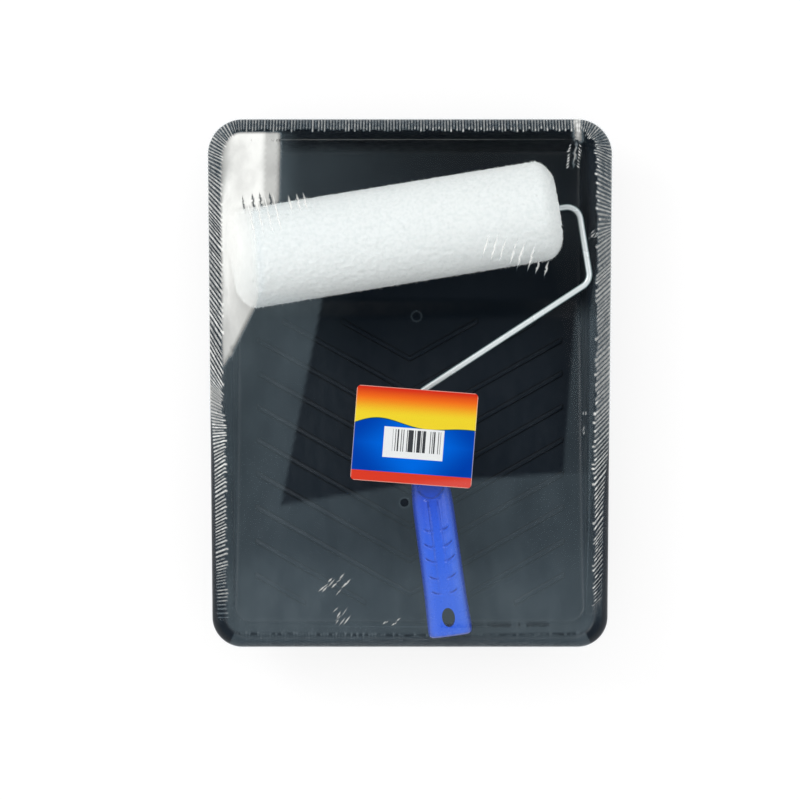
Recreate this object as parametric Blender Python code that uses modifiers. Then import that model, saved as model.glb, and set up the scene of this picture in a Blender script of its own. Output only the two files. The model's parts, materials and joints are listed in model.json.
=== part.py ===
"""Paint roller tray kit: a moulded tray, a caged 230 mm roller, its label and its shrink film.

Metres, +Z up. The origin is on the ground under the middle of the tray: +Y is the deep well's end,
-Y the shallow end where the ramp stops, and +X the side that the roller's arm comes down on.
"""
from math import asin, atan2, cos, pi, radians, sin, tan

import bmesh
import bpy
from mathutils import Matrix, Vector

MM = 0.001
CLEAR = 0.3 * MM  # between neighbouring solids

# Tray, from the outer lip inwards. "deep" is the +Y end and "shallow" the -Y end.
WALL = 2.0 * MM
TRAY_HEIGHT = 62 * MM
TRAY_HALF_DEEP = 141.2 * MM
TRAY_HALF_SHALLOW = 137.4 * MM
TRAY_Y_DEEP = 184.0 * MM
TRAY_Y_SHALLOW = -184.0 * MM
CORNER_DEEP = 25 * MM
CORNER_SHALLOW = 21 * MM
RIM_SIDE = 9.6 * MM  # width of the rolled rim along the sides
RIM_END = 6.7 * MM  # and across the ends
RIM_PROFILE = (  # share of the rim's width, height under the rim's top
    (0.00, 10.0 * MM),
    (0.03, 5.0 * MM),
    (0.14, 2.0 * MM),
    (0.36, 0.4 * MM),
    (0.62, 0.0 * MM),
    (0.86, 0.6 * MM),
    (1.00, 2.0 * MM),
)
SHOULDER_Z = 50 * MM
SHOULDER_HALF_DEEP = 125.2 * MM
SHOULDER_HALF_SHALLOW = 124.0 * MM
SHOULDER_Y_DEEP = 174.8 * MM
SHOULDER_Y_SHALLOW = -168.4 * MM
FLOOR_HALF = 123.4 * MM
FLOOR_Y_DEEP = 167.0 * MM
RAMP_Y_SHALLOW = -167.8 * MM
CORNER_INSIDE = 12 * MM
ARC_STEPS = 8

# Lengthwise profile of the floor: level well, short steep rise, then the long ramp.
WELL_END_Y = 60.2 * MM
CREASE_Y = 47.4 * MM
CREASE_Z = 10 * MM
RAMP_TOP_Z = 48.5 * MM
RAMP_TILT = atan2(RAMP_TOP_Z - CREASE_Z, CREASE_Y - RAMP_Y_SHALLOW)

# Chevron ribs that wring the roller out on the ramp.
RIB_COUNT = 10
RIB_FIRST_APEX_Y = 17.5 * MM
RIB_PITCH = 23.77 * MM
RIB_RISE = 0.56  # how far an arm climbs towards the well for each step sideways
RIB_HALF_SPAN = 108.9 * MM
RIB_WIDTH = 2.8 * MM
RIB_HEIGHT = 1.0 * MM
RIB_SINK = 0.8 * MM
RIB_TOP_Y = 44.8 * MM
RIB_BOTTOM_Y = -155.1 * MM

# Two hollow feet under the shallow end.
FOOT_X = 92 * MM
FOOT_Y = -146 * MM
FOOT_TOP = (44 * MM, 18 * MM)
FOOT_BOTTOM = (38 * MM, 13 * MM)
FOOT_WALL = 2.2 * MM
FOOT_SINK = 1.0 * MM  # how far the feet run up into the ramp's thickness
FOOT_ROOF = 1.2 * MM  # solid left over each foot's hollow

# Roller. Its own frame has +x along the axle to the arm and -y down the handle.
SLEEVE_CENTRE = Vector((-10.6 * MM, 103.0 * MM, 73 * MM))
SLEEVE_TURN = radians(9.25)
SLEEVE_HALF = 113 * MM  # the core; the nap over its ends makes it a 230 mm sleeve
CORE_RADIUS = 22 * MM
CORE_WALL = 1.7 * MM
PILE_RADIUS = 35.2 * MM
PILE_OVERHANG = 2.2 * MM
PILE_ROUND = (15 * MM, 24 * MM)  # along the axle and across it
PILE_STEPS = 8
WIRE_RADIUS = 2.3 * MM
AXLE_END = 113.2 * MM
ARM_X = 129.2 * MM
ARM_Y = -53.7 * MM
HANDLE_LINE_X = -2.1 * MM
HANDLE_LINE_Y = -111.7 * MM
HANDLE_TURN = radians(1.42)  # the handle's line against a true right angle to the axle
TANG_END_Y = -222 * MM
BEND_RADII = (9.5 * MM, 10 * MM, 9 * MM)
CAGE_WIRES = 5
CAGE_RADIUS = 16.5 * MM
CAGE_WIRE_RADIUS = 1.1 * MM
CAP_RADIUS = 20 * MM
CAP_LENGTH = 12 * MM
CAP_RECESS = 3.4 * MM  # how far the caps sit inside the core's ends
CAP_BORE = 4.9 * MM
SOCKET_DEPTH = 6 * MM
BUSH_RADIUS = 4.6 * MM
BUSH_FLANGE = 7.2 * MM

# Handle sections: distance from the neck end, half width, half thickness.
HANDLE_START_Y = -161.1 * MM
HANDLE_SECTIONS = (
    (0.0 * MM, 7.0 * MM, 7.0 * MM),
    (1.6 * MM, 9.6 * MM, 8.8 * MM),
    (9.0 * MM, 12.4 * MM, 10.0 * MM),
    (26.0 * MM, 14.1 * MM, 11.4 * MM),
    (48.0 * MM, 14.4 * MM, 12.0 * MM),
    (72.0 * MM, 14.5 * MM, 11.8 * MM),
    (92.0 * MM, 14.7 * MM, 11.4 * MM),
    (108.0 * MM, 15.1 * MM, 10.6 * MM),
    (116.0 * MM, 15.3 * MM, 10.0 * MM),
    (119.2 * MM, 14.7 * MM, 8.8 * MM),
    (120.4 * MM, 13.0 * MM, 6.6 * MM),
)
HANDLE_SQUARENESS = 2.6  # exponent of the rounded section
HANDLE_STEPS = 28
HANG_HOLE_AT = 107 * MM
HANG_HOLE = (4.5 * MM, 6.7 * MM)  # half width, half length

# Label and film.
LABEL_SIZE = (83.5 * MM, 65.7 * MM)
LABEL_CORNER = 3 * MM
LABEL_THICK = 0.35 * MM
LABEL_CENTRE = Vector((2.8 * MM, -37.1 * MM, 98.4 * MM))
LABEL_TURN = radians(-4.4)
LABEL_TILT = radians(5.1)
FILM_THICK = 0.35 * MM
FILM_GAP = 0.9 * MM
FILM_SKIRT = 9 * MM  # how far it turns down over the rim
FILM_OUT = 1.2 * MM  # how far the skirt stands off the rim
FILM_OVER = 0.6 * MM  # and the film above it
VENT_RADIUS = 2.9 * MM
VENTS = ((4.3 * MM, 45.4 * MM), (-3.9 * MM, -82.6 * MM))


# ---------------------------------------------------------------- scene and materials

def clear_scene():
    for obj in list(bpy.data.objects):
        bpy.data.objects.remove(obj, do_unlink=True)


def new_collection(name):
    made = bpy.data.collections.new(name)
    bpy.context.scene.collection.children.link(made)
    return made


def material(name, colour, roughness, metallic=0.0, alpha=1.0):
    made = bpy.data.materials.new(name)
    made.use_nodes = True
    shader = made.node_tree.nodes["Principled BSDF"]
    shader.inputs["Base Color"].default_value = (*colour, 1.0)
    shader.inputs["Roughness"].default_value = roughness
    shader.inputs["Metallic"].default_value = metallic
    shader.inputs["Alpha"].default_value = alpha
    return made


def add_object(name, data, finish, smooth=False, parent=None):
    obj = bpy.data.objects.new(name, data)
    PARTS.objects.link(obj)
    data.materials.append(finish)
    if smooth:
        data.shade_smooth()
        data.set_sharp_from_angle(angle=radians(35))
    obj.parent = parent
    return obj


def mesh_from(bm, name):
    mesh = bpy.data.meshes.new(name)
    bm.to_mesh(mesh)
    bm.free()
    return mesh


def add_cutter(name, mesh, matrix=None, parent=None):
    cutter = bpy.data.objects.new(name, mesh)
    CUTTERS.objects.link(cutter)
    cutter.hide_render = True
    cutter.display_type = "WIRE"
    cutter.parent = parent
    if matrix is not None:
        cutter.matrix_local = matrix
    return cutter


def add_boolean(obj, cutter, operation="DIFFERENCE"):
    boolean = obj.modifiers.new(cutter.name, "BOOLEAN")
    boolean.operation = operation
    boolean.solver = "EXACT"
    boolean.object = cutter


def add_solidify(obj, thickness, offset):
    shell = obj.modifiers.new("thickness", "SOLIDIFY")
    shell.thickness = thickness
    shell.offset = offset
    shell.use_even_offset = True


def add_empty(name, matrix):
    empty = bpy.data.objects.new(name, None)
    PARTS.objects.link(empty)
    empty.matrix_world = matrix
    return empty


# ---------------------------------------------------------------- tray

def mix(a, b, share):
    return a + (b - a) * share


def half_outline(half_deep, half_shallow, y_deep, y_shallow, r_deep, r_shallow):
    """The +X half of a tapered rounded outline, from its shallow edge to its deep edge."""
    def half_at(y):
        return mix(half_shallow, half_deep, (y - y_shallow) / (y_deep - y_shallow))

    points = []
    for step in range(ARC_STEPS + 1):
        angle = -pi / 2 + pi / 2 * step / ARC_STEPS
        y = y_shallow + r_shallow * (1 + sin(angle))
        points.append((half_at(y) - r_shallow * (1 - cos(angle)), y))
    for y in (CREASE_Y, WELL_END_Y):
        points.append((half_at(y), y))
    for step in range(ARC_STEPS + 1):
        angle = pi / 2 * step / ARC_STEPS
        y = y_deep - r_deep * (1 - sin(angle))
        points.append((half_at(y) - r_deep * (1 - cos(angle)), y))
    return points


def rim_outline(share):
    """The outline at one share of the rim's width, from its outer edge inwards."""
    side = RIM_SIDE * share
    end = RIM_END * share
    return half_outline(
        TRAY_HALF_DEEP - side,
        TRAY_HALF_SHALLOW - side,
        TRAY_Y_DEEP - end,
        TRAY_Y_SHALLOW + end,
        CORNER_DEEP - 8 * MM * share,
        CORNER_SHALLOW - 5 * MM * share,
    )


def floor_height(y):
    if y >= WELL_END_Y:
        return WALL
    if y >= CREASE_Y:
        return mix(CREASE_Z, WALL, (y - CREASE_Y) / (WELL_END_Y - CREASE_Y))
    return CREASE_Z + (CREASE_Y - y) * tan(RAMP_TILT)


def add_ring(bm, half, height):
    """One closed ring of vertices, anticlockwise from above; height is a number or a rule of y."""
    right = []
    left = []
    for x, y in half:
        z = height(y) if callable(height) else height
        right.append(bm.verts.new((x, y, z)))
        left.append(bm.verts.new((-x, y, z)))
    return right, left


def join_rings(bm, outer, inner):
    a = outer[0] + outer[1][::-1]
    b = inner[0] + inner[1][::-1]
    for i in range(len(a)):
        j = (i + 1) % len(a)
        bm.faces.new((a[i], a[j], b[j], b[i]))


def tray_surface():
    """The tray's upper surface: rim, walls, well floor and ramp, one open sheet."""
    bm = bmesh.new()
    rings = [add_ring(bm, rim_outline(share), TRAY_HEIGHT - drop) for share, drop in RIM_PROFILE]
    shoulder = half_outline(
        SHOULDER_HALF_DEEP, SHOULDER_HALF_SHALLOW, SHOULDER_Y_DEEP, SHOULDER_Y_SHALLOW,
        CORNER_INSIDE + 2 * MM, CORNER_INSIDE,
    )
    rings.append(add_ring(bm, shoulder, SHOULDER_Z))
    floor = half_outline(
        FLOOR_HALF, FLOOR_HALF, FLOOR_Y_DEEP, RAMP_Y_SHALLOW, CORNER_INSIDE, CORNER_INSIDE,
    )
    rings.append(add_ring(bm, floor, floor_height))
    for outer, inner in zip(rings, rings[1:]):
        join_rings(bm, outer, inner)
    right, left = rings[-1]
    for i in range(len(right) - 1):
        bm.faces.new((right[i], right[i + 1], left[i + 1], left[i]))
    return mesh_from(bm, "tray")


def rib_outline(apex_y, start_x, end_x):
    """One chevron, or one arm of it where the apex is cut off, as corner points in plan."""
    tall = RIB_WIDTH / 2 * (1 + RIB_RISE ** 2) ** 0.5
    upper = [(x, apex_y + RIB_RISE * x + tall) for x in (start_x, end_x)]
    lower = [(x, apex_y + RIB_RISE * x - tall) for x in (end_x, start_x)]
    if start_x > 0:
        return [upper + lower, [(-x, y) for x, y in reversed(upper + lower)]]
    mirrored = [(-upper[1][0], upper[1][1]), (-lower[0][0], lower[0][1])]
    return [[upper[0], upper[1], lower[0], lower[1], mirrored[1], mirrored[0]]]


def ramp_ribs():
    """All the ribs as closed bars standing on the ramp, sunk a little into it."""
    bm = bmesh.new()
    normal = Vector((0, sin(RAMP_TILT), cos(RAMP_TILT)))
    for index in range(RIB_COUNT):
        apex = RIB_FIRST_APEX_Y - RIB_PITCH * index
        start = max(0.0, (RIB_BOTTOM_Y - apex) / RIB_RISE)
        end = min(RIB_HALF_SPAN, (RIB_TOP_Y - apex) / RIB_RISE)
        for points in rib_outline(apex, start, end):
            base = []
            for x, y in points:
                base.append(bm.verts.new(Vector((x, y, floor_height(y))) - normal * RIB_SINK))
            face = bm.faces.new(base)
            grown = bmesh.ops.extrude_face_region(bm, geom=[face])
            moved = [v for v in grown["geom"] if isinstance(v, bmesh.types.BMVert)]
            bmesh.ops.translate(bm, verts=moved, vec=normal * (RIB_SINK + RIB_HEIGHT))
    bmesh.ops.recalc_face_normals(bm, faces=bm.faces)
    return mesh_from(bm, "ribs")


def frustum(bm, top, bottom, top_rule, z_bottom, x, y):
    """A closed four-sided block that narrows downwards; its top follows a rule of y."""
    high = []
    low = []
    for i, j in ((-1, -1), (1, -1), (1, 1), (-1, 1)):
        top_y = y + j * top[1] / 2
        high.append(bm.verts.new((x + i * top[0] / 2, top_y, top_rule(top_y))))
        low.append(bm.verts.new((x + i * bottom[0] / 2, y + j * bottom[1] / 2, z_bottom)))
    bm.faces.new(high)
    bm.faces.new(low[::-1])
    for i in range(4):
        j = (i + 1) % 4
        bm.faces.new((low[i], low[j], high[j], high[i]))


def foot_mesh(name, inset, sink, z_bottom):
    """Both feet, or the hollows in them, as blocks that end a set depth under the ramp's surface."""
    def top_rule(y):
        return floor_height(y) - sink

    bm = bmesh.new()
    top = (FOOT_TOP[0] - 2 * inset, FOOT_TOP[1] - 2 * inset)
    bottom = (FOOT_BOTTOM[0] - 2 * inset, FOOT_BOTTOM[1] - 2 * inset)
    for side in (-1, 1):
        frustum(bm, top, bottom, top_rule, z_bottom, side * FOOT_X, FOOT_Y)
    return mesh_from(bm, name)


def build_tray(finish):
    tray = add_object("tray", tray_surface(), finish)
    add_solidify(tray, WALL, -1.0)
    add_boolean(tray, add_cutter("ribs", ramp_ribs()), "UNION")
    add_boolean(tray, add_cutter("feet", foot_mesh("feet", 0.0, FOOT_SINK, 0.0)), "UNION")
    hollows = foot_mesh("feet_hollow", FOOT_WALL, WALL + FOOT_ROOF, -2 * MM)
    add_boolean(tray, add_cutter("feet_hollow", hollows))


# ---------------------------------------------------------------- turned and bent pieces

def turned(name, profile, finish, parent, steps=32):
    """A piece turned about its parent's x axis; profile holds (along the axle, radius)."""
    bm = bmesh.new()
    points = [bm.verts.new((radius, 0, along)) for along, radius in profile]
    for a, b in zip(points, points[1:] + points[:1]):
        bm.edges.new((a, b))
    obj = add_object(name, mesh_from(bm, name), finish, smooth=True, parent=parent)
    obj.rotation_euler = (0, pi / 2, 0)
    screw = obj.modifiers.new("turn", "SCREW")
    screw.axis = "Z"
    screw.steps = steps
    screw.render_steps = steps
    screw.use_merge_vertices = True
    screw.merge_threshold = 0.00001
    screw.use_normal_calculate = False
    return obj


def tube_profile(start, end, inner, outer):
    """A plain ring, listed down its outer side from the far end."""
    return [(end, outer), (start, outer), (start, inner), (end, inner)]


def bent_path(corners, radii, steps=7):
    """Straight runs between corners, with each inner corner rounded to its bend radius."""
    path = [corners[0]]
    for before, corner, after, radius in zip(corners, corners[1:], corners[2:], radii):
        back = (before - corner).normalized()
        ahead = (after - corner).normalized()
        half = back.angle(ahead) / 2
        inward = (back + ahead).normalized()
        centre = corner + inward * (radius / sin(half))
        start = corner + back * (radius / tan(half)) - centre
        end = corner + ahead * (radius / tan(half)) - centre
        axis = start.cross(end)
        sweep = start.angle(end)
        for step in range(steps + 1):
            path.append(centre + Matrix.Rotation(sweep * step / steps, 3, axis) @ start)
    path.append(corners[-1])
    return path


def wire(name, path, radius, finish, parent):
    curve = bpy.data.curves.new(name, "CURVE")
    curve.dimensions = "3D"
    curve.bevel_depth = radius
    curve.bevel_resolution = 2
    curve.use_fill_caps = True
    spline = curve.splines.new("POLY")
    spline.points.add(len(path) - 1)
    for point, place in zip(spline.points, path):
        point.co = (*place, 1.0)
    spline.use_smooth = True
    curve.materials.append(finish)
    obj = bpy.data.objects.new(name, curve)
    PARTS.objects.link(obj)
    obj.parent = parent
    return obj


def cylinder_mesh(name, radius, length, segments=24):
    bm = bmesh.new()
    bmesh.ops.create_cone(
        bm, cap_ends=True, segments=segments, radius1=radius, radius2=radius, depth=length,
    )
    return mesh_from(bm, name)


# ---------------------------------------------------------------- roller

def handle_point(along, across=0.0, up=0.0):
    """A point on the handle's own line, which leaves the frame's last bend at a slight angle."""
    start = Vector((HANDLE_LINE_X, HANDLE_LINE_Y, 0))
    line = Vector((-sin(HANDLE_TURN), -cos(HANDLE_TURN), 0))
    side = Vector((cos(HANDLE_TURN), -sin(HANDLE_TURN), 0))
    run = (HANDLE_LINE_Y - HANDLE_START_Y) + along
    return start + line * run + side * across + Vector((0, 0, up))


def frame_corners():
    tang = handle_point(HANDLE_START_Y - TANG_END_Y)
    return [
        Vector((-AXLE_END, 0, 0)),
        Vector((ARM_X, 0, 0)),
        Vector((ARM_X, ARM_Y, 0)),
        Vector((HANDLE_LINE_X, HANDLE_LINE_Y, 0)),
        tang,
    ]


def section_points(along, half_width, half_thick, grow=0.0):
    points = []
    for step in range(HANDLE_STEPS):
        angle = 2 * pi * step / HANDLE_STEPS
        power = 2 / HANDLE_SQUARENESS
        across = abs(cos(angle)) ** power * (1 if cos(angle) >= 0 else -1)
        up = abs(sin(angle)) ** power * (1 if sin(angle) >= 0 else -1)
        points.append(handle_point(along, (half_width + grow) * across, (half_thick + grow) * up))
    return points


def build_handle(finish, parent):
    bm = bmesh.new()
    rings = []
    for along, half_width, half_thick in HANDLE_SECTIONS:
        rings.append([bm.verts.new(p) for p in section_points(along, half_width, half_thick)])
    for a, b in zip(rings, rings[1:]):
        for i in range(HANDLE_STEPS):
            j = (i + 1) % HANDLE_STEPS
            bm.faces.new((a[i], a[j], b[j], b[i]))
    bm.faces.new(rings[0][::-1])
    bm.faces.new(rings[-1])
    bmesh.ops.recalc_face_normals(bm, faces=bm.faces)
    handle = add_object("handle", mesh_from(bm, "handle"), finish, smooth=True, parent=parent)
    turn = Matrix.Rotation(-HANDLE_TURN, 4, "Z")
    hole = cylinder_mesh("hang_hole", 1.0, 60 * MM)
    hole.transform(Matrix.Diagonal((HANG_HOLE[0], HANG_HOLE[1], 1, 1)))
    place = Matrix.Translation(handle_point(HANG_HOLE_AT)) @ turn
    add_boolean(handle, add_cutter("hang_hole", hole, place, parent))
    bore_length = (HANDLE_START_Y - TANG_END_Y) + 2 * MM
    bore = cylinder_mesh("tang_bore", WIRE_RADIUS + CLEAR, bore_length)
    middle = handle_point(HANDLE_START_Y - TANG_END_Y + 1 * MM - bore_length / 2)
    place = Matrix.Translation(middle) @ turn @ Matrix.Rotation(pi / 2, 4, "X")
    add_boolean(handle, add_cutter("tang_bore", bore, place, parent))


def pile_profile(grow=0.0):
    """(along the axle, radius) of the nap at one end, from its bore out to its straight middle."""
    long_round, deep_round = PILE_ROUND
    first = asin(1 - (PILE_RADIUS - CORE_RADIUS - CLEAR) / deep_round)
    tip = SLEEVE_HALF + PILE_OVERHANG + long_round * (1 - cos(first)) + grow
    outer = []
    for step in range(PILE_STEPS + 1):
        angle = mix(first, pi / 2, step / PILE_STEPS)
        along = tip - long_round * (1 - cos(angle))
        outer.append((along, PILE_RADIUS + grow - deep_round * (1 - sin(angle))))
    return outer


def build_pile(finish, parent):
    outer = pile_profile()
    profile = outer + [(-a, r) for a, r in reversed(outer)]
    turned("sleeve_pile", profile, finish, parent, steps=40)


def cage_angle(index):
    return 2 * pi * index / CAGE_WIRES + pi / 2


def cage_place(along, index):
    angle = cage_angle(index)
    return Vector((along, CAGE_RADIUS * cos(angle), CAGE_RADIUS * sin(angle)))


def socket_cutter(name, centre, length, parent):
    """Five short rods where the cage wires enter a cap or pass through the ring."""
    bm = bmesh.new()
    for index in range(CAGE_WIRES):
        place = Matrix.Translation(cage_place(centre, index)) @ Matrix.Rotation(pi / 2, 4, "Y")
        bmesh.ops.create_cone(
            bm, cap_ends=True, segments=12, radius1=CAGE_WIRE_RADIUS + CLEAR,
            radius2=CAGE_WIRE_RADIUS + CLEAR, depth=length, matrix=place,
        )
    return add_cutter(name, mesh_from(bm, name), parent=parent)


def build_cap(name, side, finish, parent):
    """A plug in the core's end, hollowed from outside, with five sockets in its inner face."""
    outer_face = side * (SLEEVE_HALF - CAP_RECESS)
    inner_face = side * (SLEEVE_HALF - CAP_RECESS - CAP_LENGTH)
    recess = outer_face - side * 5 * MM
    profile = [
        (outer_face, CAP_RADIUS), (inner_face, CAP_RADIUS), (inner_face, CAP_BORE),
        (outer_face, CAP_BORE), (outer_face, CAP_BORE + 3.2 * MM), (recess, CAP_BORE + 3.2 * MM),
        (recess, CAP_RADIUS - 2 * MM), (outer_face, CAP_RADIUS - 2 * MM),
    ]
    if side < 0:
        profile.reverse()
    cap = turned(name, profile, finish, parent)
    middle = inner_face + side * (SOCKET_DEPTH / 2 - 0.5 * MM)
    add_boolean(cap, socket_cutter(name + "_sockets", middle, SOCKET_DEPTH + 1 * MM, parent))


def build_bush(name, side, finish, parent):
    start = side * (SLEEVE_HALF - CAP_LENGTH - 1 * MM)
    face = side * (SLEEVE_HALF - CAP_RECESS + CLEAR)
    end = face + side * 1.2 * MM
    bore = WIRE_RADIUS + CLEAR
    profile = [
        (end, BUSH_FLANGE), (face, BUSH_FLANGE), (face, BUSH_RADIUS), (start, BUSH_RADIUS),
        (start, bore), (end, bore),
    ]
    if side < 0:
        profile.reverse()
    turned(name, profile, finish, parent, steps=24)


def build_cage(finishes, parent):
    half = SLEEVE_HALF - CAP_RECESS - CAP_LENGTH + SOCKET_DEPTH - CLEAR
    turned("sleeve_core", tube_profile(-SLEEVE_HALF, SLEEVE_HALF, CORE_RADIUS - CORE_WALL, CORE_RADIUS),
           finishes["core"], parent, steps=36)
    build_pile(finishes["pile"], parent)
    build_cap("cage_cap_arm", 1, finishes["cap"], parent)
    build_cap("cage_cap_far", -1, finishes["cap"], parent)
    build_bush("axle_bush_arm", 1, finishes["bush"], parent)
    build_bush("axle_bush_far", -1, finishes["bush"], parent)
    ring = turned("cage_ring", tube_profile(-1.5 * MM, 1.5 * MM, 3.4 * MM, CAP_RADIUS - 0.2 * MM),
                  finishes["cap"], parent)
    add_boolean(ring, socket_cutter("ring_holes", 0.0, 8 * MM, parent))
    for index in range(CAGE_WIRES):
        ends = [cage_place(-half, index), cage_place(half, index)]
        wire(f"cage_wire_{index + 1}", ends, CAGE_WIRE_RADIUS, finishes["steel"], parent)


def build_frame(finishes, parent):
    path = bent_path(frame_corners(), BEND_RADII)
    wire("wire_frame", path, WIRE_RADIUS, finishes["steel"], parent)
    bore = WIRE_RADIUS + CLEAR
    face = SLEEVE_HALF - CAP_RECESS + CLEAR + 1.2 * MM
    washer = tube_profile(face + CLEAR, face + CLEAR + 0.8 * MM, bore, 6.5 * MM)
    turned("thrust_washer", washer, finishes["steel"], parent, steps=24)
    collar = tube_profile(face + 1.4 * MM, face + 4.4 * MM, bore, 4.4 * MM)
    turned("stop_collar", collar, finishes["steel"], parent, steps=24)
    nut = tube_profile(-face - CLEAR - 1.0 * MM, -face - CLEAR, bore, 6.2 * MM)
    turned("push_nut", nut, finishes["steel"], parent, steps=24)


# ---------------------------------------------------------------- label and film

def label_matrix():
    return (
        Matrix.Translation(LABEL_CENTRE)
        @ Matrix.Rotation(LABEL_TILT, 4, "X")
        @ Matrix.Rotation(LABEL_TURN, 4, "Z")
    )


def rounded_rectangle(width, height, corner, steps=5):
    points = []
    centres = ((1, 1, 0), (-1, 1, 1), (-1, -1, 2), (1, -1, 3))
    for sx, sy, quarter in centres:
        for step in range(steps + 1):
            angle = pi / 2 * (quarter + step / steps)
            x = sx * (width / 2 - corner) + corner * cos(angle)
            y = sy * (height / 2 - corner) + corner * sin(angle)
            points.append((x, y))
    return points


def build_label(finish):
    curve = bpy.data.curves.new("label", "CURVE")
    curve.dimensions = "2D"
    curve.fill_mode = "BOTH"
    curve.extrude = LABEL_THICK / 2
    outline = rounded_rectangle(*LABEL_SIZE, LABEL_CORNER)
    spline = curve.splines.new("POLY")
    spline.points.add(len(outline) - 1)
    for point, (x, y) in zip(spline.points, outline):
        point.co = (x, y, 0, 1)
    spline.use_cyclic_u = True
    curve.materials.append(finish)
    label = bpy.data.objects.new("label", curve)
    PARTS.objects.link(label)
    label.matrix_world = label_matrix()


def film_supports(roller):
    """Points that hold the film up: the rim, the label's underside, the roller and its handle."""
    points = []
    for x, y in rim_outline(0.0):
        outward = Vector((x, y)).normalized() * FILM_OUT
        for side in (-1, 1):
            for z in (TRAY_HEIGHT - FILM_SKIRT, TRAY_HEIGHT - FILM_SKIRT / 3):
                points.append(Vector((side * (x + outward.x), y + outward.y, z)))
    for x, y in rim_outline(0.3):
        for side in (-1, 1):
            points.append(Vector((side * x, y, TRAY_HEIGHT + FILM_OVER)))
    for along, radius in pile_profile(FILM_GAP):
        for side in (-1, 1):
            for step in range(36):
                angle = 2 * pi * step / 36
                local = Vector((side * along, radius * cos(angle), radius * sin(angle)))
                points.append(roller @ local)
    reach = WIRE_RADIUS + FILM_GAP
    for corner in bent_path(frame_corners(), BEND_RADII):
        for x in (-reach, reach):
            for y in (-reach, reach):
                points.append(roller @ (corner + Vector((x, y, reach))))
    for along, half_width, half_thick in HANDLE_SECTIONS:
        for point in section_points(along, half_width, half_thick, FILM_GAP):
            points.append(roller @ point)
    under = -LABEL_THICK / 2 - FILM_THICK - CLEAR
    for x, y in rounded_rectangle(LABEL_SIZE[0] + 4 * MM, LABEL_SIZE[1] + 4 * MM, LABEL_CORNER, 2):
        points.append(label_matrix() @ Vector((x, y, under)))
    return points


def build_film(finish, roller):
    """A taut sheet over the kit: the upper part of the hull of all that holds it up."""
    bm = bmesh.new()
    for point in film_supports(roller):
        bm.verts.new(point)
    hull = bmesh.ops.convex_hull(bm, input=bm.verts, use_existing_faces=False)
    loose = set(hull["geom_interior"]) | set(hull["geom_unused"])
    bmesh.ops.delete(bm, geom=[g for g in loose if isinstance(g, bmesh.types.BMVert)], context="VERTS")
    skirt = TRAY_HEIGHT - FILM_SKIRT + 0.1 * MM
    under = [f for f in bm.faces if all(v.co.z < skirt for v in f.verts)]
    bmesh.ops.delete(bm, geom=under, context="FACES")
    bmesh.ops.dissolve_limit(
        bm, angle_limit=radians(0.4), verts=bm.verts, edges=bm.edges, delimit={"NORMAL"},
    )
    bmesh.ops.triangulate(bm, faces=bm.faces)
    bmesh.ops.recalc_face_normals(bm, faces=bm.faces)
    if sum(face.normal.z * face.calc_area() for face in bm.faces) < 0:
        bmesh.ops.reverse_faces(bm, faces=bm.faces)
    film = add_object("shrink_film", mesh_from(bm, "shrink_film"), finish)
    add_solidify(film, FILM_THICK, 1.0)
    bm = bmesh.new()
    for x, y in VENTS:
        bmesh.ops.create_cone(
            bm, cap_ends=True, segments=20, radius1=VENT_RADIUS, radius2=VENT_RADIUS,
            depth=80 * MM, matrix=Matrix.Translation((x, y, 85 * MM)),
        )
    add_boolean(film, add_cutter("film_vents", mesh_from(bm, "film_vents")))


# ---------------------------------------------------------------- assembly

def main():
    finishes = {
        "tray": material("black_plastic", (0.018, 0.023, 0.028), 0.38),
        "film": material("clear_film", (0.92, 0.94, 0.95), 0.10, alpha=0.2),
        "label": material("printed_paper", (0.01, 0.14, 0.62), 0.35),
        "steel": material("zinc_wire", (0.62, 0.64, 0.65), 0.30, metallic=1.0),
        "handle": material("blue_plastic", (0.035, 0.12, 0.66), 0.38),
        "core": material("core_tube", (0.70, 0.70, 0.66), 0.5),
        "pile": material("white_pile", (0.90, 0.92, 0.91), 0.95),
        "cap": material("cage_plastic", (0.03, 0.03, 0.035), 0.45),
        "bush": material("bush_plastic", (0.85, 0.85, 0.82), 0.4),
    }
    roller = (
        Matrix.Translation(SLEEVE_CENTRE)
        @ Matrix.Rotation(SLEEVE_TURN, 4, "Z")
    )
    axle = add_empty("axle_frame", roller)
    build_tray(finishes["tray"])
    build_frame(finishes, axle)
    build_handle(finishes["handle"], axle)
    build_cage(finishes, axle)
    build_film(finishes["film"], roller)
    build_label(finishes["label"])


clear_scene()
PARTS = new_collection("paint_roller_tray")
CUTTERS = new_collection("cutters")
main()
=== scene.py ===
"""Looks for the paint roller tray kit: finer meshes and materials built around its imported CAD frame.

Metres, +Z up, in the frame's own coordinates: +Y is the tray's deep end and +X the side that the
roller's arm comes down on. The roller's pieces use the axle's frame: +x along the axle to the arm,
-y down the handle.
"""
import json
import random
from math import asin, atan2, cos, exp, floor, pi, radians, sin, tan

import bmesh
import bpy
from mathutils import Matrix, Vector, noise
from mathutils.bvhtree import BVHTree
from mathutils.geometry import delaunay_2d_cdt


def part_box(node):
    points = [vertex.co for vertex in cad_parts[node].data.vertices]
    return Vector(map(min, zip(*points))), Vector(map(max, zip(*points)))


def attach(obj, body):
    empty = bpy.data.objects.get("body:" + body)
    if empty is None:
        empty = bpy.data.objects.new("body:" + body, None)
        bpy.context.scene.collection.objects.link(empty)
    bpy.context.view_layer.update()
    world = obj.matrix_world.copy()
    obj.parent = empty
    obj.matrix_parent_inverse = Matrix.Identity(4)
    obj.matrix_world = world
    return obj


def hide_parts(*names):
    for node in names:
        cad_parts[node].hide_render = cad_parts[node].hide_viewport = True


MM = 0.001
SEED = 11


def in_mm(table):
    """Lengths in millimetres, nested in any way, as metres."""
    if isinstance(table, tuple):
        return tuple(in_mm(item) for item in table)
    return table * MM


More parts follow.
